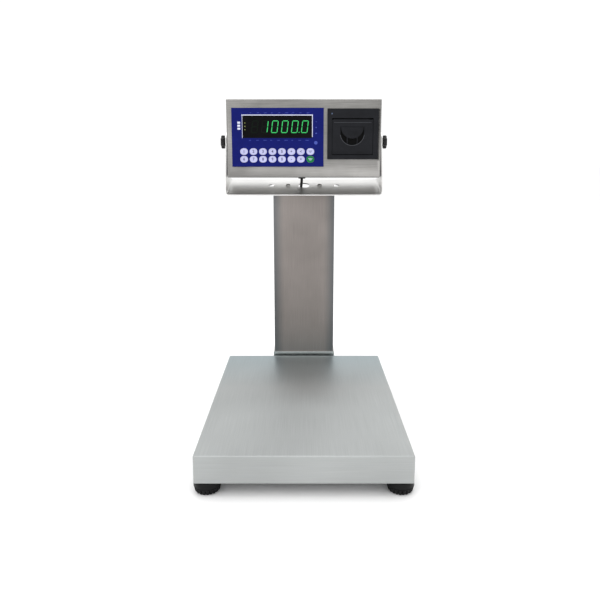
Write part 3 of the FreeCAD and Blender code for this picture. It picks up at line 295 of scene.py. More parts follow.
MATERIALS = {
    "painted_frame": moulded("painted_frame", (0.36, 0.37, 0.38), 0.3, 0.42, 700, 0.2, 0.3, 1.1),
    "cell_aluminium": brushed("cell_aluminium", (0.72, 0.73, 0.75), "Y", 0.3, 0.45, 0.06, 0.2),
    "zinc_steel": plated("zinc_steel", (0.62, 0.62, 0.6)),
    "black_rubber": moulded("black_rubber", (0.016, 0.016, 0.016), 0.6, 0.8, 1200, 0.3),
    "bright_stainless": brushed("bright_stainless", (0.66, 0.655, 0.635), "X", 0.18, 0.3, 0.08, 0.2),
    # the column: painted shade and bluish reflection towards its folded sides, set by edge
    "satin_stainless": brushed("satin_stainless", (0.3, 0.272, 0.256), "Z", 0.3, 0.42, 0.07, 0.2,
                               cloud=0.3, spread=6, edge=(0.04, 0.058)),
    "cable_black": moulded("cable_black", (0.012, 0.012, 0.012), 0.4, 0.55, 900, 0.2),
    "bracket_stainless": brushed("bracket_stainless", (0.84, 0.835, 0.82), "X", 0.34, 0.42, 0.06, 0.15, 0.1),
    "pan_stainless": satin("pan_stainless", (0.47, 0.485, 0.482), 0.32, 0.6),
    "housing_stainless": brushed("housing_stainless", (0.29, 0.284, 0.274), "X", 0.34, 0.46, 0.16, 0.3, 0.2),
    "blue_membrane": membrane("blue_membrane", (0.003, 0.007, 0.118)),
    "window_black": window_film("window_black"),
    "circuit_board": circuit("circuit_board"),
    "led_module": moulded("led_module", (0.003, 0.004, 0.003), 0.6, 0.8, 300, 0.01, 0.0, 1.0, 0.03),
    "black_plastic": moulded("black_plastic", (0.009, 0.009, 0.01), 0.36, 0.52, 1600, 0.3),
    "charcoal_plastic": moulded("charcoal_plastic", (0.009, 0.0096, 0.012), 0.4, 0.54, 2200, 0.35,
                                gloss=0.12),
    "paper_white": moulded("paper_white", (0.8, 0.8, 0.78), 0.7, 0.85, 1100, 0.2, 0.0, 1.0),
    "foot_black": moulded("foot_black", (0.004, 0.004, 0.0045), 0.34, 0.5, 1300, 0.25, gloss=0.16),
    "key_green": membrane("key_green", (0.012, 0.17, 0.05)),
    "key_lavender": membrane("key_lavender", (0.46, 0.47, 0.7)),
}
LIT = glowing("segment_lit", (0.02, 0.5, 0.11), 0.5)
UNLIT = moulded("segment_unlit", (0.003, 0.008, 0.004), 0.4, 0.5, gloss=0.07)
DOT_DIM = glowing("annunciator_dim", (0.22, 0.26, 0.06), 0.3)
PRINT_WHITE = membrane("print_white", (0.62, 0.64, 0.78))
PRINT_PALE = membrane("print_pale", (0.06, 0.085, 0.36))
LEGEND_DARK = membrane("legend_dark", (0.05, 0.05, 0.12))
# painted shadow: a near-black sheet standing for the shade inside the door's recess
RECESS_SHADOW_BLACK = moulded("recess_shadow", (0.002, 0.002, 0.002), 0.6, 0.8, 900, 0.2, 0.0, 1.0, 0.08)
# painted highlight: a lighter grey for the recess rim and the slot line, where they catch the light
RIM_HIGHLIGHT_GREY = moulded("painted_rim_highlight", (0.045, 0.047, 0.055), 0.36, 0.5, 1800, 0.3)
LAMP_BLUE = glowing("lamp_lens", (0.06, 0.09, 0.17), 0.2)

for node, item in frame["nodes"].items():
    item.data.materials.clear()
    item.data.materials.append(MATERIALS[SLOT_OF[node]])


# ---------------------------------------------------------------- mesh tools

def add(name, mesh, material, body, *nodes, slot=None, sharp=32):
    """Make an object of a mesh, give it a material and let it ride; it replaces the nodes named."""
    mesh.materials.clear()
    mesh.materials.append(material)
    for face in mesh.polygons:
        face.use_smooth = True
    mesh.set_sharp_from_angle(angle=math.radians(sharp))
    item = bpy.data.objects.new(name, mesh)
    bpy.context.scene.collection.objects.link(item)
    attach(item, body)
    if nodes:
        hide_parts(*nodes)
    return item


def add_bmesh(name, bm, material, body, *nodes, slot=None, sharp=32):
    bmesh.ops.recalc_face_normals(bm, faces=bm.faces)
    mesh = bpy.data.meshes.new(name)
    bm.to_mesh(mesh)
    bm.free()
    return add(name, mesh, material, body, *nodes, slot=slot, sharp=sharp)


def bevel(item, width, segments=2, angle=35):
    """Round an object's sharp edges and keep the result in its mesh."""
    modifier = item.modifiers.new("Bevel", "BEVEL")
    modifier.width = width
    modifier.segments = segments
    modifier.limit_method = "ANGLE"
    modifier.angle_limit = math.radians(angle)
    modifier.harden_normals = True
    bpy.context.view_layer.update()
    done = bpy.data.meshes.new_from_object(item.evaluated_get(bpy.context.evaluated_depsgraph_get()))
    item.modifiers.clear()
    item.data = done
    return item


def softened(node, width=0.3 * MM, segments=2, angle=35):
    """A CAD node's own shape with its sharp edges rounded, standing for that node."""
    bm = bmesh.new()
    bm.from_mesh(frame["nodes"][node].data)
    bmesh.ops.remove_doubles(bm, verts=bm.verts, dist=SAME_POINT)
    bmesh.ops.dissolve_limit(bm, angle_limit=math.radians(0.4), verts=bm.verts, edges=bm.edges)
    item = add_bmesh(f"{node}_skin", bm, MATERIALS[SLOT_OF[node]], BODY_OF[node], node, slot=SLOT_OF[node])
    return bevel(item, width, segments, angle)


def ring_mesh(bm, rings, closed_ends=True):
    """Join rings of equal length into a skin."""
    rows = [[bm.verts.new(point) for point in ring] for ring in rings]
    count = len(rows[0])
    for row, following in zip(rows, rows[1:]):
        for index in range(count):
            after = (index + 1) % count
            bm.faces.new((row[index], row[after], following[after], following[index]))
    if closed_ends:
        bm.faces.new(rows[0])
        bm.faces.new(rows[-1])


def turned(profile, steps=48, spread=None):
    """Rings about +Z from (radius, height) pairs; spread(angle, height, radius) may alter the radius."""
    rings = []
    for radius, height in profile:
        ring = []
        for index in range(steps):
            angle = 2 * math.pi * index / steps
            far = spread(angle, height, radius) if spread else radius
            ring.append(Vector((far * math.cos(angle), far * math.sin(angle), height)))
        rings.append(ring)
    return rings


def aimed(direction, spot):
    """A matrix that takes +Z to a direction and the origin to a spot."""
    turn = Vector((0, 0, 1)).rotation_difference(Vector(direction)).to_matrix().to_4x4()
    return Matrix.Translation(spot) @ turn


def plaque(bm, points, y, depth):
    """A flat shape in x and z, standing proud by depth towards -Y from y."""
    front = [bm.verts.new((x, y - depth, z)) for x, z in points]
    back = [bm.verts.new((x, y, z)) for x, z in points]
    bm.faces.new(front)
    bm.faces.new(list(reversed(back)))
    for index, vertex in enumerate(front):
        after = (index + 1) % len(front)
        bm.faces.new((vertex, back[index], back[after], front[after]))


def bar(bm, left, bottom, right, top, y, depth):
    plaque(bm, [(left, bottom), (right, bottom), (right, top), (left, top)], y, depth)


def oval(width, height, steps=40, power=2.0):
    """A superellipse outline about the origin as (x, z) pairs."""
    outline = []
    for index in range(steps):
        angle = 2 * math.pi * index / steps
        c, s = math.cos(angle), math.sin(angle)
        outline.append((math.copysign(abs(c) ** (2 / power), c) * width / 2,
                        math.copysign(abs(s) ** (2 / power), s) * height / 2))
    return outline


# ---------------------------------------------------------------- pieces

def make_feet():
    """Round glides: a smooth band above rounded scallops, a rim at the top and a shallow dish below."""
    scallops, depth, taper = 20, 2.0 * MM, 3.2 * MM
    fade_height, dish, band_groove, sole, skirt_share = 1.2 * MM, 0.8 * MM, 0.975, 0.7, 0.47
    for index in range(1, 5):
        node = f"foot_pad_{index}"
        centre, low, high = middle(node), LOW[node], HIGH[node]
        radius = (high.x - low.x) / 2
        tall = high.z - low.z
        skirt = skirt_share * tall

        def scallop(angle, height, far):
            if far < radius * sole or height > skirt:
                return far
            fade = min(1.0, (skirt - height) / fade_height)
            wave = 1 - abs(math.sin(scallops * angle / 2)) ** 0.8
            return far - depth * wave * fade

        foot = radius - taper
        profile = [(0.3 * radius, dish), (0.64 * radius, dish), (sole * radius, 0),
                   (foot - 0.8 * MM, 0), (foot, 0.5 * MM), (foot + 0.9 * MM, 1.4 * MM)]
        profile += [(radius - 0.25 * MM - (taper - 1.2 * MM) * (1 - step) ** 1.3, skirt * step)
                    for step in (0.3, 0.5, 0.7, 0.85, 0.93, 1.0)]
        profile += [(radius, skirt + 0.01 * MM), (band_groove * radius, skirt + 0.3 * MM),
                    (band_groove * radius, skirt + 0.8 * MM), (radius, skirt + 1.1 * MM),
                    (radius, tall - 1.4 * MM), (0.985 * radius, tall - 0.5 * MM),
                    (0.94 * radius, tall), (0.45 * radius, tall), (0.42 * radius, tall - 0.6 * MM)]
        bm = bmesh.new()
        ring_mesh(bm, turned(profile, 240, scallop))
        bmesh.ops.translate(bm, verts=bm.verts, vec=(centre.x, centre.y, 0))
        add_bmesh(f"{node}_glide", bm, MATERIALS["foot_black"], BODY_OF[node], node,
                  slot="foot_black", sharp=45)


def make_studs():
    """Threaded studs: a fine screw profile inside the plain rod of the frame."""
    pitch, turns_step, rows_per_pitch = 1.5 * MM, 24, 4
    thread_depth, plain_end = 0.75 * MM, 0.8 * MM
    for index in range(1, 5):
        node = f"foot_stud_{index}"
        low, high, centre = LOW[node], HIGH[node], middle(node)
        radius = (high.x - low.x) / 2
        rows = int((high.z - low.z) / pitch * rows_per_pitch)
        bm = bmesh.new()
        rings = []
        for row in range(rows + 1):
            height = low.z + (high.z - low.z) * row / rows
            ring = []
            for step in range(turns_step):
                angle = 2 * math.pi * step / turns_step
                phase = ((height - low.z) / pitch - step / turns_step) % 1
                cut = thread_depth * abs(2 * phase - 1) if 2 < row < rows - 2 else plain_end
                far = radius - cut
                ring.append((centre.x + far * math.cos(angle), centre.y + far * math.sin(angle), height))
            rings.append(ring)
        ring_mesh(bm, rings)
        add_bmesh(f"{node}_thread", bm, MATERIALS["zinc_steel"], BODY_OF[node], node, slot="zinc_steel")


def make_knobs():
    """Star knobs with six rounded lobes and a stepped hub, each in one piece with its screw."""
    lobes, wave = 6, 0.14
    screw_radius, thread_depth, thread_step = 2.95 * MM, 0.35 * MM, 0.5 * MM
    for side, sign in (("left", -1), ("right", 1)):
        node = f"knob_{side}"
        centre = middle(node)
        radius = (HIGH[node].y - LOW[node].y) / 2
        seat = HIGH[f"knob_washer_{side}"].x if sign > 0 else LOW[f"knob_washer_{side}"].x
        outer = HIGH[node].x if sign > 0 else LOW[node].x
        inner = LOW[node].x if sign > 0 else HIGH[node].x
        tall = abs(outer - seat)

        def lobed(angle, height, far):
            if far < 0.62 * radius:
                return far
            return far * (1 - wave + wave * math.cos(lobes * angle))

        profile = [(0.45 * radius, 0), (0.6 * radius, 0), (0.64 * radius, 0.18 * tall),
                   (0.93 * radius, 0.22 * tall), (radius, 0.32 * tall), (radius, 0.78 * tall),
                   (0.97 * radius, 0.9 * tall),
                   (0.88 * radius, 0.97 * tall), (0.66 * radius, tall), (0.6 * radius, tall),
                   (0.5 * radius, 0.97 * tall), (0.3 * radius, 0.95 * tall), (0.06 * radius, 0.95 * tall)]
        bm = bmesh.new()
        ring_mesh(bm, turned(profile, 144, lobed))
        screw = abs(seat - inner)
        stud = [(screw_radius, 0.3 * MM)]
        for step in range(int(screw / thread_step)):
            stud.append((screw_radius - thread_depth * (step % 2), -thread_step * step - 0.2 * MM))
        stud.append((2.3 * MM, -screw))
        ring_mesh(bm, turned(stud, 32))
        bmesh.ops.transform(bm, matrix=aimed((sign, 0, 0), (seat, centre.y, centre.z)), verts=bm.verts)
        add_bmesh(f"{node}_star", bm, MATERIALS["black_plastic"], BODY_OF[node], node,
                  slot="black_plastic", sharp=40)


def pan_head(radius, height, shank, length, steps=32):
    """A cross-recessed pan-head screw about +Z, its head's seat at the origin."""
    bm = bmesh.new()
    head = [(shank, -length), (shank, 0), (radius * 0.97, 0), (radius, height * 0.2),
            (radius * 0.97, height * 0.55), (radius * 0.82, height * 0.85), (radius * 0.5, height),
            (radius * 0.12, height)]
    ring_mesh(bm, turned(head, steps))
    return bm


def cross_cut(radius, height):
    """The tool that sinks a cross into a screw's head."""
    bm = bmesh.new()
    slot_width, slot_length, tip, sunk, clear = 0.09, 0.55, 0.35, 0.35, 1.3
    for across, along in ((slot_width, slot_length), (slot_length, slot_width)):
        bottom = [(-across * tip, -along * tip), (across * tip, -along * tip),
                  (across * tip, along * tip), (-across * tip, along * tip)]
        top = [(-across, -along), (across, -along), (across, along), (-across, along)]
        ring_mesh(bm, [[(x * radius, y * radius, height * sunk) for x, y in bottom],
                       [(x * radius, y * radius, height * clear) for x, y in top]])
    return bm


def screw_mesh(name, radius, height, shank, length):
    """The screw with its cross cut, as a mesh about +Z."""
    parts = []
    for which, bm in (("head", pan_head(radius, height, shank, length)), ("cut", cross_cut(radius, height))):
        bmesh.ops.recalc_face_normals(bm, faces=bm.faces)
        mesh = bpy.data.meshes.new(f"{name}_{which}")
        bm.to_mesh(mesh)
        bm.free()
        parts.append(bpy.data.objects.new(f"{name}_{which}", mesh))
        bpy.context.scene.collection.objects.link(parts[-1])
    head, tool = parts
    cut = head.modifiers.new("Cross", "BOOLEAN")
    cut.operation = "DIFFERENCE"
    cut.object = tool
    cut.solver = "EXACT"
    cut.use_self = True
    bpy.context.view_layer.update()
    done = bpy.data.meshes.new_from_object(head.evaluated_get(bpy.context.evaluated_depsgraph_get()))
    bpy.data.objects.remove(head)
    bpy.data.objects.remove(tool)
    return done


def islands(node):
    """Each separate solid of a node as a list of its points."""
    bm = bmesh.new()
    bm.from_mesh(frame["nodes"][node].data)
    bmesh.ops.remove_doubles(bm, verts=bm.verts, dist=SAME_POINT)
    left, found = set(bm.verts), []
    while left:
        stack, points = [left.pop()], []
        while stack:
            vertex = stack.pop()
            points.append(vertex.co.copy())
            for edge in vertex.link_edges:
                other = edge.other_vert(vertex)
                if other in left:
                    left.remove(other)
                    stack.append(other)
        found.append(points)
    bm.free()
    return found


def bounds_of(points):
    low = Vector([min(point[axis] for point in points) for axis in range(3)])
    high = Vector([max(point[axis] for point in points) for axis in range(3)])
    return low, high


COVER_HEAD, PLATE_HEAD, MOUNT_HEAD = 1.8 * MM, 2.4 * MM, 3 * MM  # heights of the screw heads
PLATE_LEVEL = 0.2  # screws above this height hold the bracket, those below it hold the column


def make_screws():
    """The cover, bracket and socket screws, each with a cross-recessed head that faces out of its plate."""
    slope = math.atan2(*plate_direction())
    up = Vector((0, -math.sin(slope), math.cos(slope)))
    for node in ("rear_cover_screws", "column_screws"):
        bm = bmesh.new()
        for points in islands(node):
            low, high = bounds_of(points)
            size, centre = high - low, (low + high) / 2
            if high.y > HIGH["column_rear_cover"].y + 1 * MM or node == "rear_cover_screws":
                head = COVER_HEAD
                template = screw_mesh("cross", size.x / 2, head, 2 * MM, size.y - head)
                direction, seat = (0, 1, 0), Vector((centre.x, high.y - head, centre.z))
            elif centre.z > PLATE_LEVEL:
                template = screw_mesh("plate", 4.6 * MM, PLATE_HEAD, 2.45 * MM, 6 * MM)
                direction, seat = up, centre + up * ((size.z - 1.5 * MM) / 2 - PLATE_HEAD)
            else:
                template = screw_mesh("mount", 5 * MM, MOUNT_HEAD, 3 * MM, size.z - MOUNT_HEAD)
                direction, seat = (0, 0, -1), Vector((centre.x, centre.y, low.z + MOUNT_HEAD))
            template.transform(aimed(direction, seat))
            bm.from_mesh(template)
            bpy.data.meshes.remove(template)
        add_bmesh(f"{node}_heads", bm, MATERIALS["zinc_steel"], BODY_OF[node], node, slot="zinc_steel")


def plate_direction():
    """(rise, run) of the bracket's sloped plate, from its largest face that looks up."""
    best, rise, run, upward = 0, 0, 1, 0.9
    for face in frame["nodes"]["indicator_bracket"].data.polygons:
        if face.normal.z > upward and face.area > best:
            best, rise, run = face.area, -face.normal.y, face.normal.z
    return rise, run


def make_keys():
    """Oval key pads with a raised rim and dark legends: digits and plain signs."""
    letter, rim_gap, dish = 7 * MM, 0.1 * MM, 0.11 * MM
    pad_profile = [(0.4, 0.1 * MM), (0.84, 0.12 * MM), (0.88, 0.03 * MM), (0.93, 0), (0.975, 0.06 * MM),
                   (1.0, 0.22 * MM)]
    bar_height, bar_pitch, bar_top = 0.6 * MM, 1.5 * MM, 1.3 * MM
    legends = ["1", "2", "3", "4", "5", "+", "<", "", "6", "7", "8", "9", "0", "-", ">", ""]
    for index, legend in enumerate(legends, 1):
        node = f"key_{index:02d}"
        low, high, centre = LOW[node], HIGH[node], middle(node)
        size = high - low
        bm = bmesh.new()
        rings = []
        for scale, back in pad_profile + [(1.0, size.y)]:
            ring = [(centre.x + x * scale, low.y + back, centre.z + z * scale)
                    for x, z in oval(size.x - rim_gap, size.z - rim_gap, 48, 2.2)]
            rings.append(ring)
        ring_mesh(bm, rings)
        slot = SLOT_OF[node]
        add_bmesh(f"{node}_pad", bm, MATERIALS[slot], node, node, slot=slot, sharp=60)
        face_y = low.y + dish
        if legend:
            spot = (centre.x, face_y, centre.z)
            written(f"{node}_legend", legend, letter, spot, LEGEND_DARK, node, slot)
        else:
            sign = bmesh.new()
            for part in range(3):
                half = (1.6 + 1.1 * part) * MM
                top = centre.z - bar_top + bar_pitch * part
                bar(sign, centre.x - half, top - bar_height, centre.x + half, top, face_y, INK + 0.01 * MM)
            ink = LEGEND_DARK if index < len(legends) else PRINT_WHITE
            add_bmesh(f"{node}_legend", sign, ink, node, slot=slot)


def written(name, text, size, centre, material, body, slot):
    """A generic character as a thin flat mesh facing -Y."""
    curve = bpy.data.curves.new(name, "FONT")
    curve.body, curve.size = text, size
    curve.extrude, curve.offset = 0.02 * MM, 0.14 * MM
    curve.align_x, curve.align_y = "CENTER", "CENTER"
    item = bpy.data.objects.new(f"{name}_text", curve)
    bpy.context.scene.collection.objects.link(item)
    bpy.context.view_layer.update()
    mesh = bpy.data.meshes.new_from_object(item.evaluated_get(bpy.context.evaluated_depsgraph_get()))
    bpy.data.objects.remove(item)
    mesh.transform(Matrix.Translation(centre) @ Matrix.Rotation(math.pi / 2, 4, "X"))
    return add(name, mesh, material, body, slot=slot)


SEGMENTS = {  # end points of each stroke on a unit digit: x across, z up
    "a": ((0, 1), (1, 1)), "b": ((1, 1), (1, 0.5)), "c": ((1, 0.5), (1, 0)), "d": ((0, 0), (1, 0)),
    "e": ((0, 0.5), (0, 0)), "f": ((0, 1), (0, 0.5)), "g": ((0, 0.5), (1, 0.5)),
}
LIT_SEGMENTS = {"": "", "1": "bc", "0": "abcdef"}


def make_digits():
    """Dark display blocks inside, and slanting seven-segment strokes showing on the window, lit or unlit."""
    blocks = sorted((bounds_of(points) for points in islands("led_digits")), key=lambda box: box[0].x)
    shown = ["", "1", "0", "0", "0", "0"]
    case, lit, dark = bmesh.new(), bmesh.new(), bmesh.new()
    thick, slant, front = 1.5 * MM, 0.13, LOW["display_window"].y
    margin, lean, split = 1.2 * MM, 2.2 * MM, 0.35 * MM
    for (low, high), digit in zip(blocks, shown):
        bar(case, low.x, low.z, high.x, high.z, high.y, high.y - low.y)
        width, tall = high.x - low.x - 2 * margin - lean, high.z - low.z - 2 * margin
        left, base = low.x + margin, low.z + margin
        for name, (start, end) in SEGMENTS.items():
            a = Vector((left + start[0] * width, base + start[1] * tall))
            b = Vector((left + end[0] * width, base + end[1] * tall))
            along = (b - a).normalized()
            side = Vector((-along.y, along.x)) * thick / 2
            gap = along * split
            tip = along * thick / 2
            points = [a + gap, a + gap + tip + side, b - gap - tip + side, b - gap,
                      b - gap - tip - side, a + gap + tip - side]
            slanted = [(point.x + (point.y - base) * slant, point.y) for point in points]
            into = lit if name in LIT_SEGMENTS[digit] else dark
            plaque(into, slanted, front, INK)
    low, high = blocks[-2]
    point_x, point_z, point_size = high.x + 0.5 * MM, low.z + 1.5 * MM, 1.8 * MM
    plaque(lit, [(point_x + x, point_z + z) for x, z in oval(point_size, point_size, 16)], front, INK)
    add_bmesh("led_blocks", case, MATERIALS["led_module"], "indicator", "led_digits", slot="led_module")
    add_bmesh("segments_lit", lit, LIT, "indicator", slot="led_module")
    add_bmesh("segments_unlit", dark, UNLIT, "indicator", slot="led_module")
    low, high = LOW["display_window"], HIGH["display_window"]
    dots = bmesh.new()
    dot_x, dot_size = low.x + 4.6 * MM, 1.9 * MM
    for step in range(3):
        dot_z = high.z - (13.5 + 6 * step) * MM
        plaque(dots, [(dot_x + x, dot_z + z) for x, z in oval(dot_size, dot_size, 16)], front, INK)
    add_bmesh("annunciators", dots, DOT_DIM, "indicator", slot="led_module")


def make_label():
    """The blue film: softened edge, white line round the window's top and right, plain printed marks."""
    softened("keypad_overlay", 0.12 * MM, 2)
    softened("display_window", 0.1 * MM, 1)
    low, high = LOW["display_window"], HIGH["display_window"]
    front = LOW["keypad_overlay"].y
    line = 1.5 * MM
    white, pale = bmesh.new(), bmesh.new()
    bar(white, low.x - line, high.z, high.x + line, high.z + line, front, INK)
    bar(white, high.x, low.z + 2 * MM, high.x + line * 0.8, high.z, front, INK)
    bar(white, low.x - line * 0.5, low.z, low.x, high.z, front, 0.02 * MM)
    mark_x = (LOW["keypad_overlay"].x + low.x) / 2 + 3.4 * MM
    mark_half, mark_height, mark_pitch = 2.6 * MM, 3.6 * MM, 5.4 * MM
    for step in range(3):
        z = low.z + 15 * MM + mark_pitch * step
        bar(white, mark_x - mark_half, z, mark_x + mark_half, z + mark_height, front, INK)
    side_x, side_pitch, ring_size = high.x + 7.5 * MM, 10.5 * MM, 6.4 * MM
    for step in range(3):
        z = high.z - 11 * MM - side_pitch * step
        points = oval((2.2 + 0.6 * step) * MM, 2.6 * MM, 3 + step)
        plaque(pale, [(side_x + x, z + y) for x, y in points], front, INK)
    ring_x, ring_z = side_x - 0.5 * MM, low.z - 8.5 * MM
    plaque(pale, [(ring_x + x, ring_z + z) for x, z in oval(ring_size, ring_size, 28)], front, INK)
    words, word_start, word_pitch, above, below = 9, 12 * MM, 13 * MM, high.z + 4.2 * MM, low.z - 4.4 * MM
    for step in range(words):
        x = low.x + word_start + word_pitch * step
        width = (3.2 + 1.6 * (step % 3)) * MM
        bar(pale, x, below, x + width, below + 0.7 * MM, front, INK)
        bar(pale, x + 2 * MM, above, x + 2 * MM + width * 0.8, above + 0.8 * MM, front, INK)
    add_bmesh("label_white_print", white, PRINT_WHITE, "indicator", slot="blue_membrane")
    add_bmesh("label_pale_print", pale, PRINT_PALE, "indicator", slot="blue_membrane")


RECESS_DROP = 11.1 * MM  # from the latch's top down to the centre of the round recess


def add_charcoal(name, bm, body="printer_door", material=None):
    """A printer piece in the charcoal plastic, or in the material given."""
    add_bmesh(name, bm, material or MATERIALS["charcoal_plastic"], body, slot="charcoal_plastic")


def make_recess():
    """The finger ribs of the door's recess, a black sheet painted in as the recess's shadow, and a rim
    painted lighter as a highlight.
    """
    low, high, front = LOW["printer_latch"], HIGH["printer_latch"], LOW["printer_door"].y
    centre_x, arc_z, arc_radius = (low.x + high.x) / 2, high.z - RECESS_DROP, (high.x - low.x) / 2
    rib_side, rib_half, rib_depth, floor = 9.2 * MM, 0.9 * MM, 1.9 * MM, 2.3 * MM
    ribs = bmesh.new()
    for sign in (-1, 1):
        x = centre_x + sign * rib_side
        bar(ribs, x - rib_half, low.z - 10.4 * MM, x + rib_half, low.z + 3.5 * MM, front + floor, rib_depth)
    add_charcoal("door_ribs", ribs)
    # painted shadow: a black sheet on the recess floor where the recess lies in shade
    steps, shadow_radius, shadow_top = 40, arc_radius - 1.9 * MM, high.z - 1.5 * MM
    outline = [(centre_x + shadow_radius, shadow_top), (centre_x - shadow_radius, shadow_top)]
    outline += [(centre_x + shadow_radius * math.cos(a), arc_z + shadow_radius * math.sin(a))
                for a in [math.pi * (1 + step / steps) for step in range(steps + 1)]]
    painted_shadow = bmesh.new()
    plaque(painted_shadow, outline, front + floor + 0.08 * MM, 0.1 * MM)
    add_charcoal("recess_painted_shadow", painted_shadow, material=RECESS_SHADOW_BLACK)
    # the rim is painted lighter grey as a highlight
    rim_radius, half_width, half_depth = arc_radius - 1 * MM, 0.55 * MM, 0.3 * MM
    rim_start, rim_turn = 188, 164
    section = [math.pi * corner / 4 for corner in range(8)]
    rings = []
    for step in range(steps + 1):
        angle = math.radians(rim_start + rim_turn * step / steps)
        out = Vector((math.cos(angle), 0, math.sin(angle)))
        spot = Vector((centre_x, front, arc_z)) + out * rim_radius
        rings.append([spot + out * half_width * math.cos(a) + Vector((0, half_depth * math.sin(a), 0))
                      for a in section])
    rim = bmesh.new()
    ring_mesh(rim, rings)
    add_charcoal("recess_rim", rim, material=RIM_HIGHLIGHT_GREY)
    grip_pitch, grip_height, grip_depth = 2.2 * MM, 0.7 * MM, 0.2 * MM
    grips = bmesh.new()
    for step in range(4):
        half = 9.5 * MM - 1.3 * MM * step
        z = high.z - 8 * MM - grip_pitch * step
        bar(grips, centre_x - half, z, centre_x + half, z + grip_height, low.y, grip_depth)
    add_charcoal("latch_grips", grips, "printer_latch")


def make_door_trim():
    """The moulded lines across the door, the slot's line painted lighter as a highlight, and the teeth that
    tear the paper.
    """
    low, high = LOW["printer_door"], HIGH["printer_door"]
    line, proud = 0.7 * MM, 0.25 * MM
    # the slot line is painted lighter grey as a highlight
    slot_line = bmesh.new()
    slot_z = high.z - 5.6 * MM
    bar(slot_line, low.x + 3 * MM, slot_z, high.x - 3 * MM, slot_z + line, low.y, proud)
    add_charcoal("slot_line", slot_line, material=RIM_HIGHLIGHT_GREY)
    groove = bmesh.new()
    for height in (1.8 * MM, 4.4 * MM):
        bar(groove, low.x + 2 * MM, low.z + height, high.x - 2 * MM, low.z + height + line, low.y, proud)
    add_charcoal("door_lines", groove)
    count, left, right = 46, low.x + 2 * MM, high.x - 6 * MM
    tip, root, base = 1.3 * MM, 0.7 * MM, high.z + 0.1 * MM
    points = [(left + (right - left) * step / count, high.z + (tip if step % 2 else root))
              for step in range(count + 1)]
    teeth = bmesh.new()
    plaque(teeth, points + [(right, base), (left, base)], low.y + 1.4 * MM, 0.3 * MM)
    add_charcoal("tear_bar", teeth)


def make_printer():
    """Bezel, flap, recess with its latch, tear bar and lamp."""
    softened("printer_frame", 0.5 * MM, 3)
    softened("printer_door", 0.4 * MM, 3)
    softened("printer_latch", 0.35 * MM, 2)
    softened("printer_bay", 0.3 * MM, 1)
    make_recess()
    make_door_trim()
    low, high = LOW["printer_frame"], HIGH["printer_frame"]
    spot = Vector((low.x + 8.4 * MM, low.y + 0.9 * MM, high.z - 9.1 * MM))
    dome = [(1.5 * MM, 0), (1.5 * MM, 0.6 * MM), (1.2 * MM, 0.95 * MM), (0.7 * MM, 1.15 * MM),
            (0.15 * MM, 1.2 * MM)]
    lamp = bmesh.new()
    ring_mesh(lamp, turned(dome, 24))
    bmesh.ops.transform(lamp, matrix=aimed((0, -1, 0), spot), verts=lamp.verts)
    add_charcoal("printer_lamp", lamp, "indicator", LAMP_BLUE)


def make_paper():
    """A wound roll of paper: fine steps on its ends from layer to layer."""
    low, high, centre = LOW["paper_roll"], HIGH["paper_roll"], middle("paper_roll")
    outer, core = (high.z - low.z) / 2, 6.5 * MM
    layers, uneven, closed_seam = 26, 0.12 * MM, 1e-7
    profile = [(core, 0)]
    for layer in range(layers):
        far = core + (outer - core) * (layer + 1) / layers
        profile.append((far, uneven * (layer % 2)))
    wide = high.x - low.x
    back = [(far, wide - height) for far, height in reversed(profile)]
    bm = bmesh.new()
    rings = turned(profile + back, 96)
    ring_mesh(bm, rings + [rings[0]], closed_ends=False)
    bmesh.ops.remove_doubles(bm, verts=bm.verts, dist=closed_seam)
    bmesh.ops.transform(bm, matrix=aimed((1, 0, 0), (low.x, centre.y, centre.z)), verts=bm.verts)
    add_bmesh("paper_roll_wound", bm, MATERIALS["paper_white"], "paper_roll", "paper_roll",
              slot="paper_white")


def make_cable():
    """The indicator's lead from inside the column up through the slot to its gland."""
    low, high, centre = LOW["indicator_cable"], HIGH["indicator_cable"], middle("indicator_cable")
    radius, straight, sway_x, sway_y = 2.6 * MM, 12 * MM, 2 * MM, 3 * MM
    top_x, top_y, half_way = high.x - radius, high.y - radius, (low.z + high.z) / 2
    curve = bpy.data.curves.new("indicator_lead", "CURVE")
    curve.dimensions = "3D"
    curve.bevel_depth, curve.bevel_resolution, curve.use_fill_caps = radius, 6, True
    spline = curve.splines.new("NURBS")
    points = [(top_x, top_y, low.z), (top_x, top_y, low.z + straight - 1 * MM),
              (top_x - sway_x, top_y - sway_y, half_way),
              (top_x, top_y, high.z - straight), (top_x, top_y, high.z)]
    spline.points.add(len(points) - 1)
    for point, spot in zip(spline.points, points):
        point.co = (*spot, 1)
    spline.order_u = 3
    spline.use_endpoint_u = True
    spline.resolution_u = 16
    item = bpy.data.objects.new("indicator_lead_curve", curve)
    bpy.context.scene.collection.objects.link(item)
    bpy.context.view_layer.update()
    mesh = bpy.data.meshes.new_from_object(item.evaluated_get(bpy.context.evaluated_depsgraph_get()))
    bpy.data.objects.remove(item)
    mesh.materials.clear()
    mesh.materials.append(MATERIALS["cable_black"])
    for face in mesh.polygons:
        face.use_smooth = True
    lead = bpy.data.objects.new("indicator_lead", mesh)
    bpy.context.scene.collection.objects.link(lead)
    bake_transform(lead)
    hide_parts("indicator_cable")


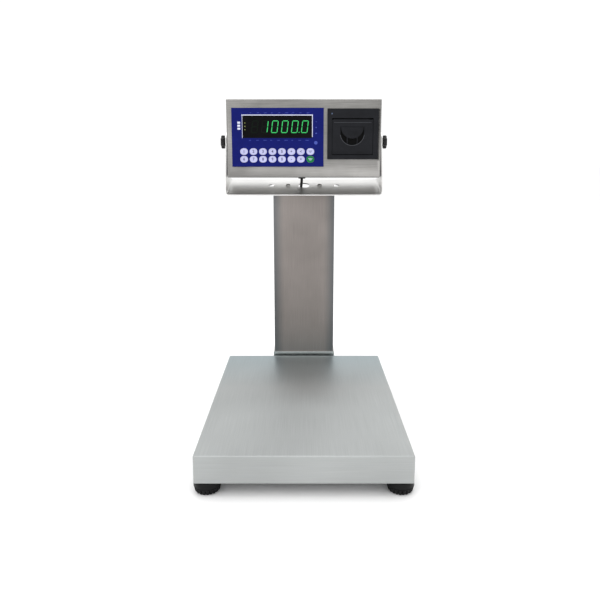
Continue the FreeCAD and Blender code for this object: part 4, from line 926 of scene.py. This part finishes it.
def make_sheet_metal():
    """Folded and welded parts: the frame's own shapes with rounded edges."""
    softened("platform_pan", 0.25 * MM, 2, 50)
    softened("indicator_housing", 0.35 * MM, 2, 50)
    softened("indicator_bracket", 0.35 * MM, 2, 50)
    softened("indicator_rear_cover", 0.4 * MM, 2)
    softened("column", 1.2 * MM, 4, 60)
    softened("column_mount", 0.5 * MM, 2)
    softened("column_rear_cover", 0.5 * MM, 2)
    for node in ("base_frame", "top_frame", "load_cell", "foot_nuts", "overload_stops"):
        softened(node, 0.4 * MM, 1, 50)
    for node in ("friction_discs", "knob_washer_left", "knob_washer_right", "cable_glands", "pan_bumpers"):
        softened(node, 0.3 * MM, 2)
    softened("main_board", 0.2 * MM, 1)
    softened("display_board", 0.2 * MM, 1)


make_sheet_metal()
make_feet()
make_studs()
make_knobs()
make_screws()
make_keys()
make_digits()
make_label()
make_printer()
make_paper()
make_cable()


# ---------------------------------------------------------------- stage, light and camera

def floor_material():
    """Matt and nearly white, with a barely visible grain."""
    made = Maker("floor_pale", Roughness=0.75)
    made.colour(made.ramp(made.noise(300, 2), (0.94, 0.94, 0.94, 1), (0.95, 0.95, 0.95, 1)))
    return made.material


def make_stage():
    """A wide round floor, plain and pale, whose rim is out of sight."""
    bm = bmesh.new()
    bmesh.ops.create_circle(bm, cap_ends=True, segments=96, radius=30)
    mesh = bpy.data.meshes.new("floor")
    bm.to_mesh(mesh)
    bm.free()
    mesh.materials.append(floor_material())
    floor = bpy.data.objects.new("floor", mesh)
    bpy.context.scene.collection.objects.link(floor)


def area_light(name, spot, target, size, power):
    lamp = bpy.data.lights.new(name, "AREA")
    lamp.shape = "RECTANGLE"
    lamp.size, lamp.size_y = size
    lamp.energy = power
    item = bpy.data.objects.new(name, lamp)
    item.location = spot
    item.rotation_euler = (Vector(target) - Vector(spot)).to_track_quat("-Z", "Y").to_euler()
    bpy.context.scene.collection.objects.link(item)


def make_light():
    """An even white surround with three large soft lamps, so that the steel has something to reflect."""
    world = bpy.data.worlds.new("studio")
    bpy.context.scene.world = world
    world.use_nodes = True
    background = world.node_tree.nodes["Background"]
    background.inputs["Color"].default_value = (1.0, 1.0, 1.0, 1)
    background.inputs["Strength"].default_value = 1.07
    watts = {"key": 15, "fill": 6, "top": 22}
    area_light("key_soft", (-1.6, -1.8, 2.2), (0, 0, 0.25), (1.6, 1.6), watts["key"])
    area_light("fill_soft", (2.0, -1.4, 1.3), (0, 0, 0.3), (1.4, 1.8), watts["fill"])
    area_light("top_soft", (0, 0.2, 2.6), (0, 0, 0), (2.0, 2.0), watts["top"])


def make_camera():
    """The viewpoint: close in front of the pan and well above it, looking slightly down."""
    distance, height, pitch = 0.718, 0.397, 10.5
    front = LOW["platform_pan"].y
    top = HIGH["platform_pan"].z
    camera = bpy.data.cameras.new("camera")
    camera.lens, camera.sensor_width = 34.8, 36
    camera.shift_x, camera.shift_y = -0.0065, -0.0617
    camera.clip_start = 0.05
    item = bpy.data.objects.new("camera", camera)
    item.location = (0, front - distance, top + height)
    item.rotation_euler = (math.radians(90 - pitch), 0, 0)
    bpy.context.scene.collection.objects.link(item)
    bpy.context.scene.camera = item


make_stage()
make_light()
make_camera()
bpy.context.scene.view_settings.view_transform = "Standard"
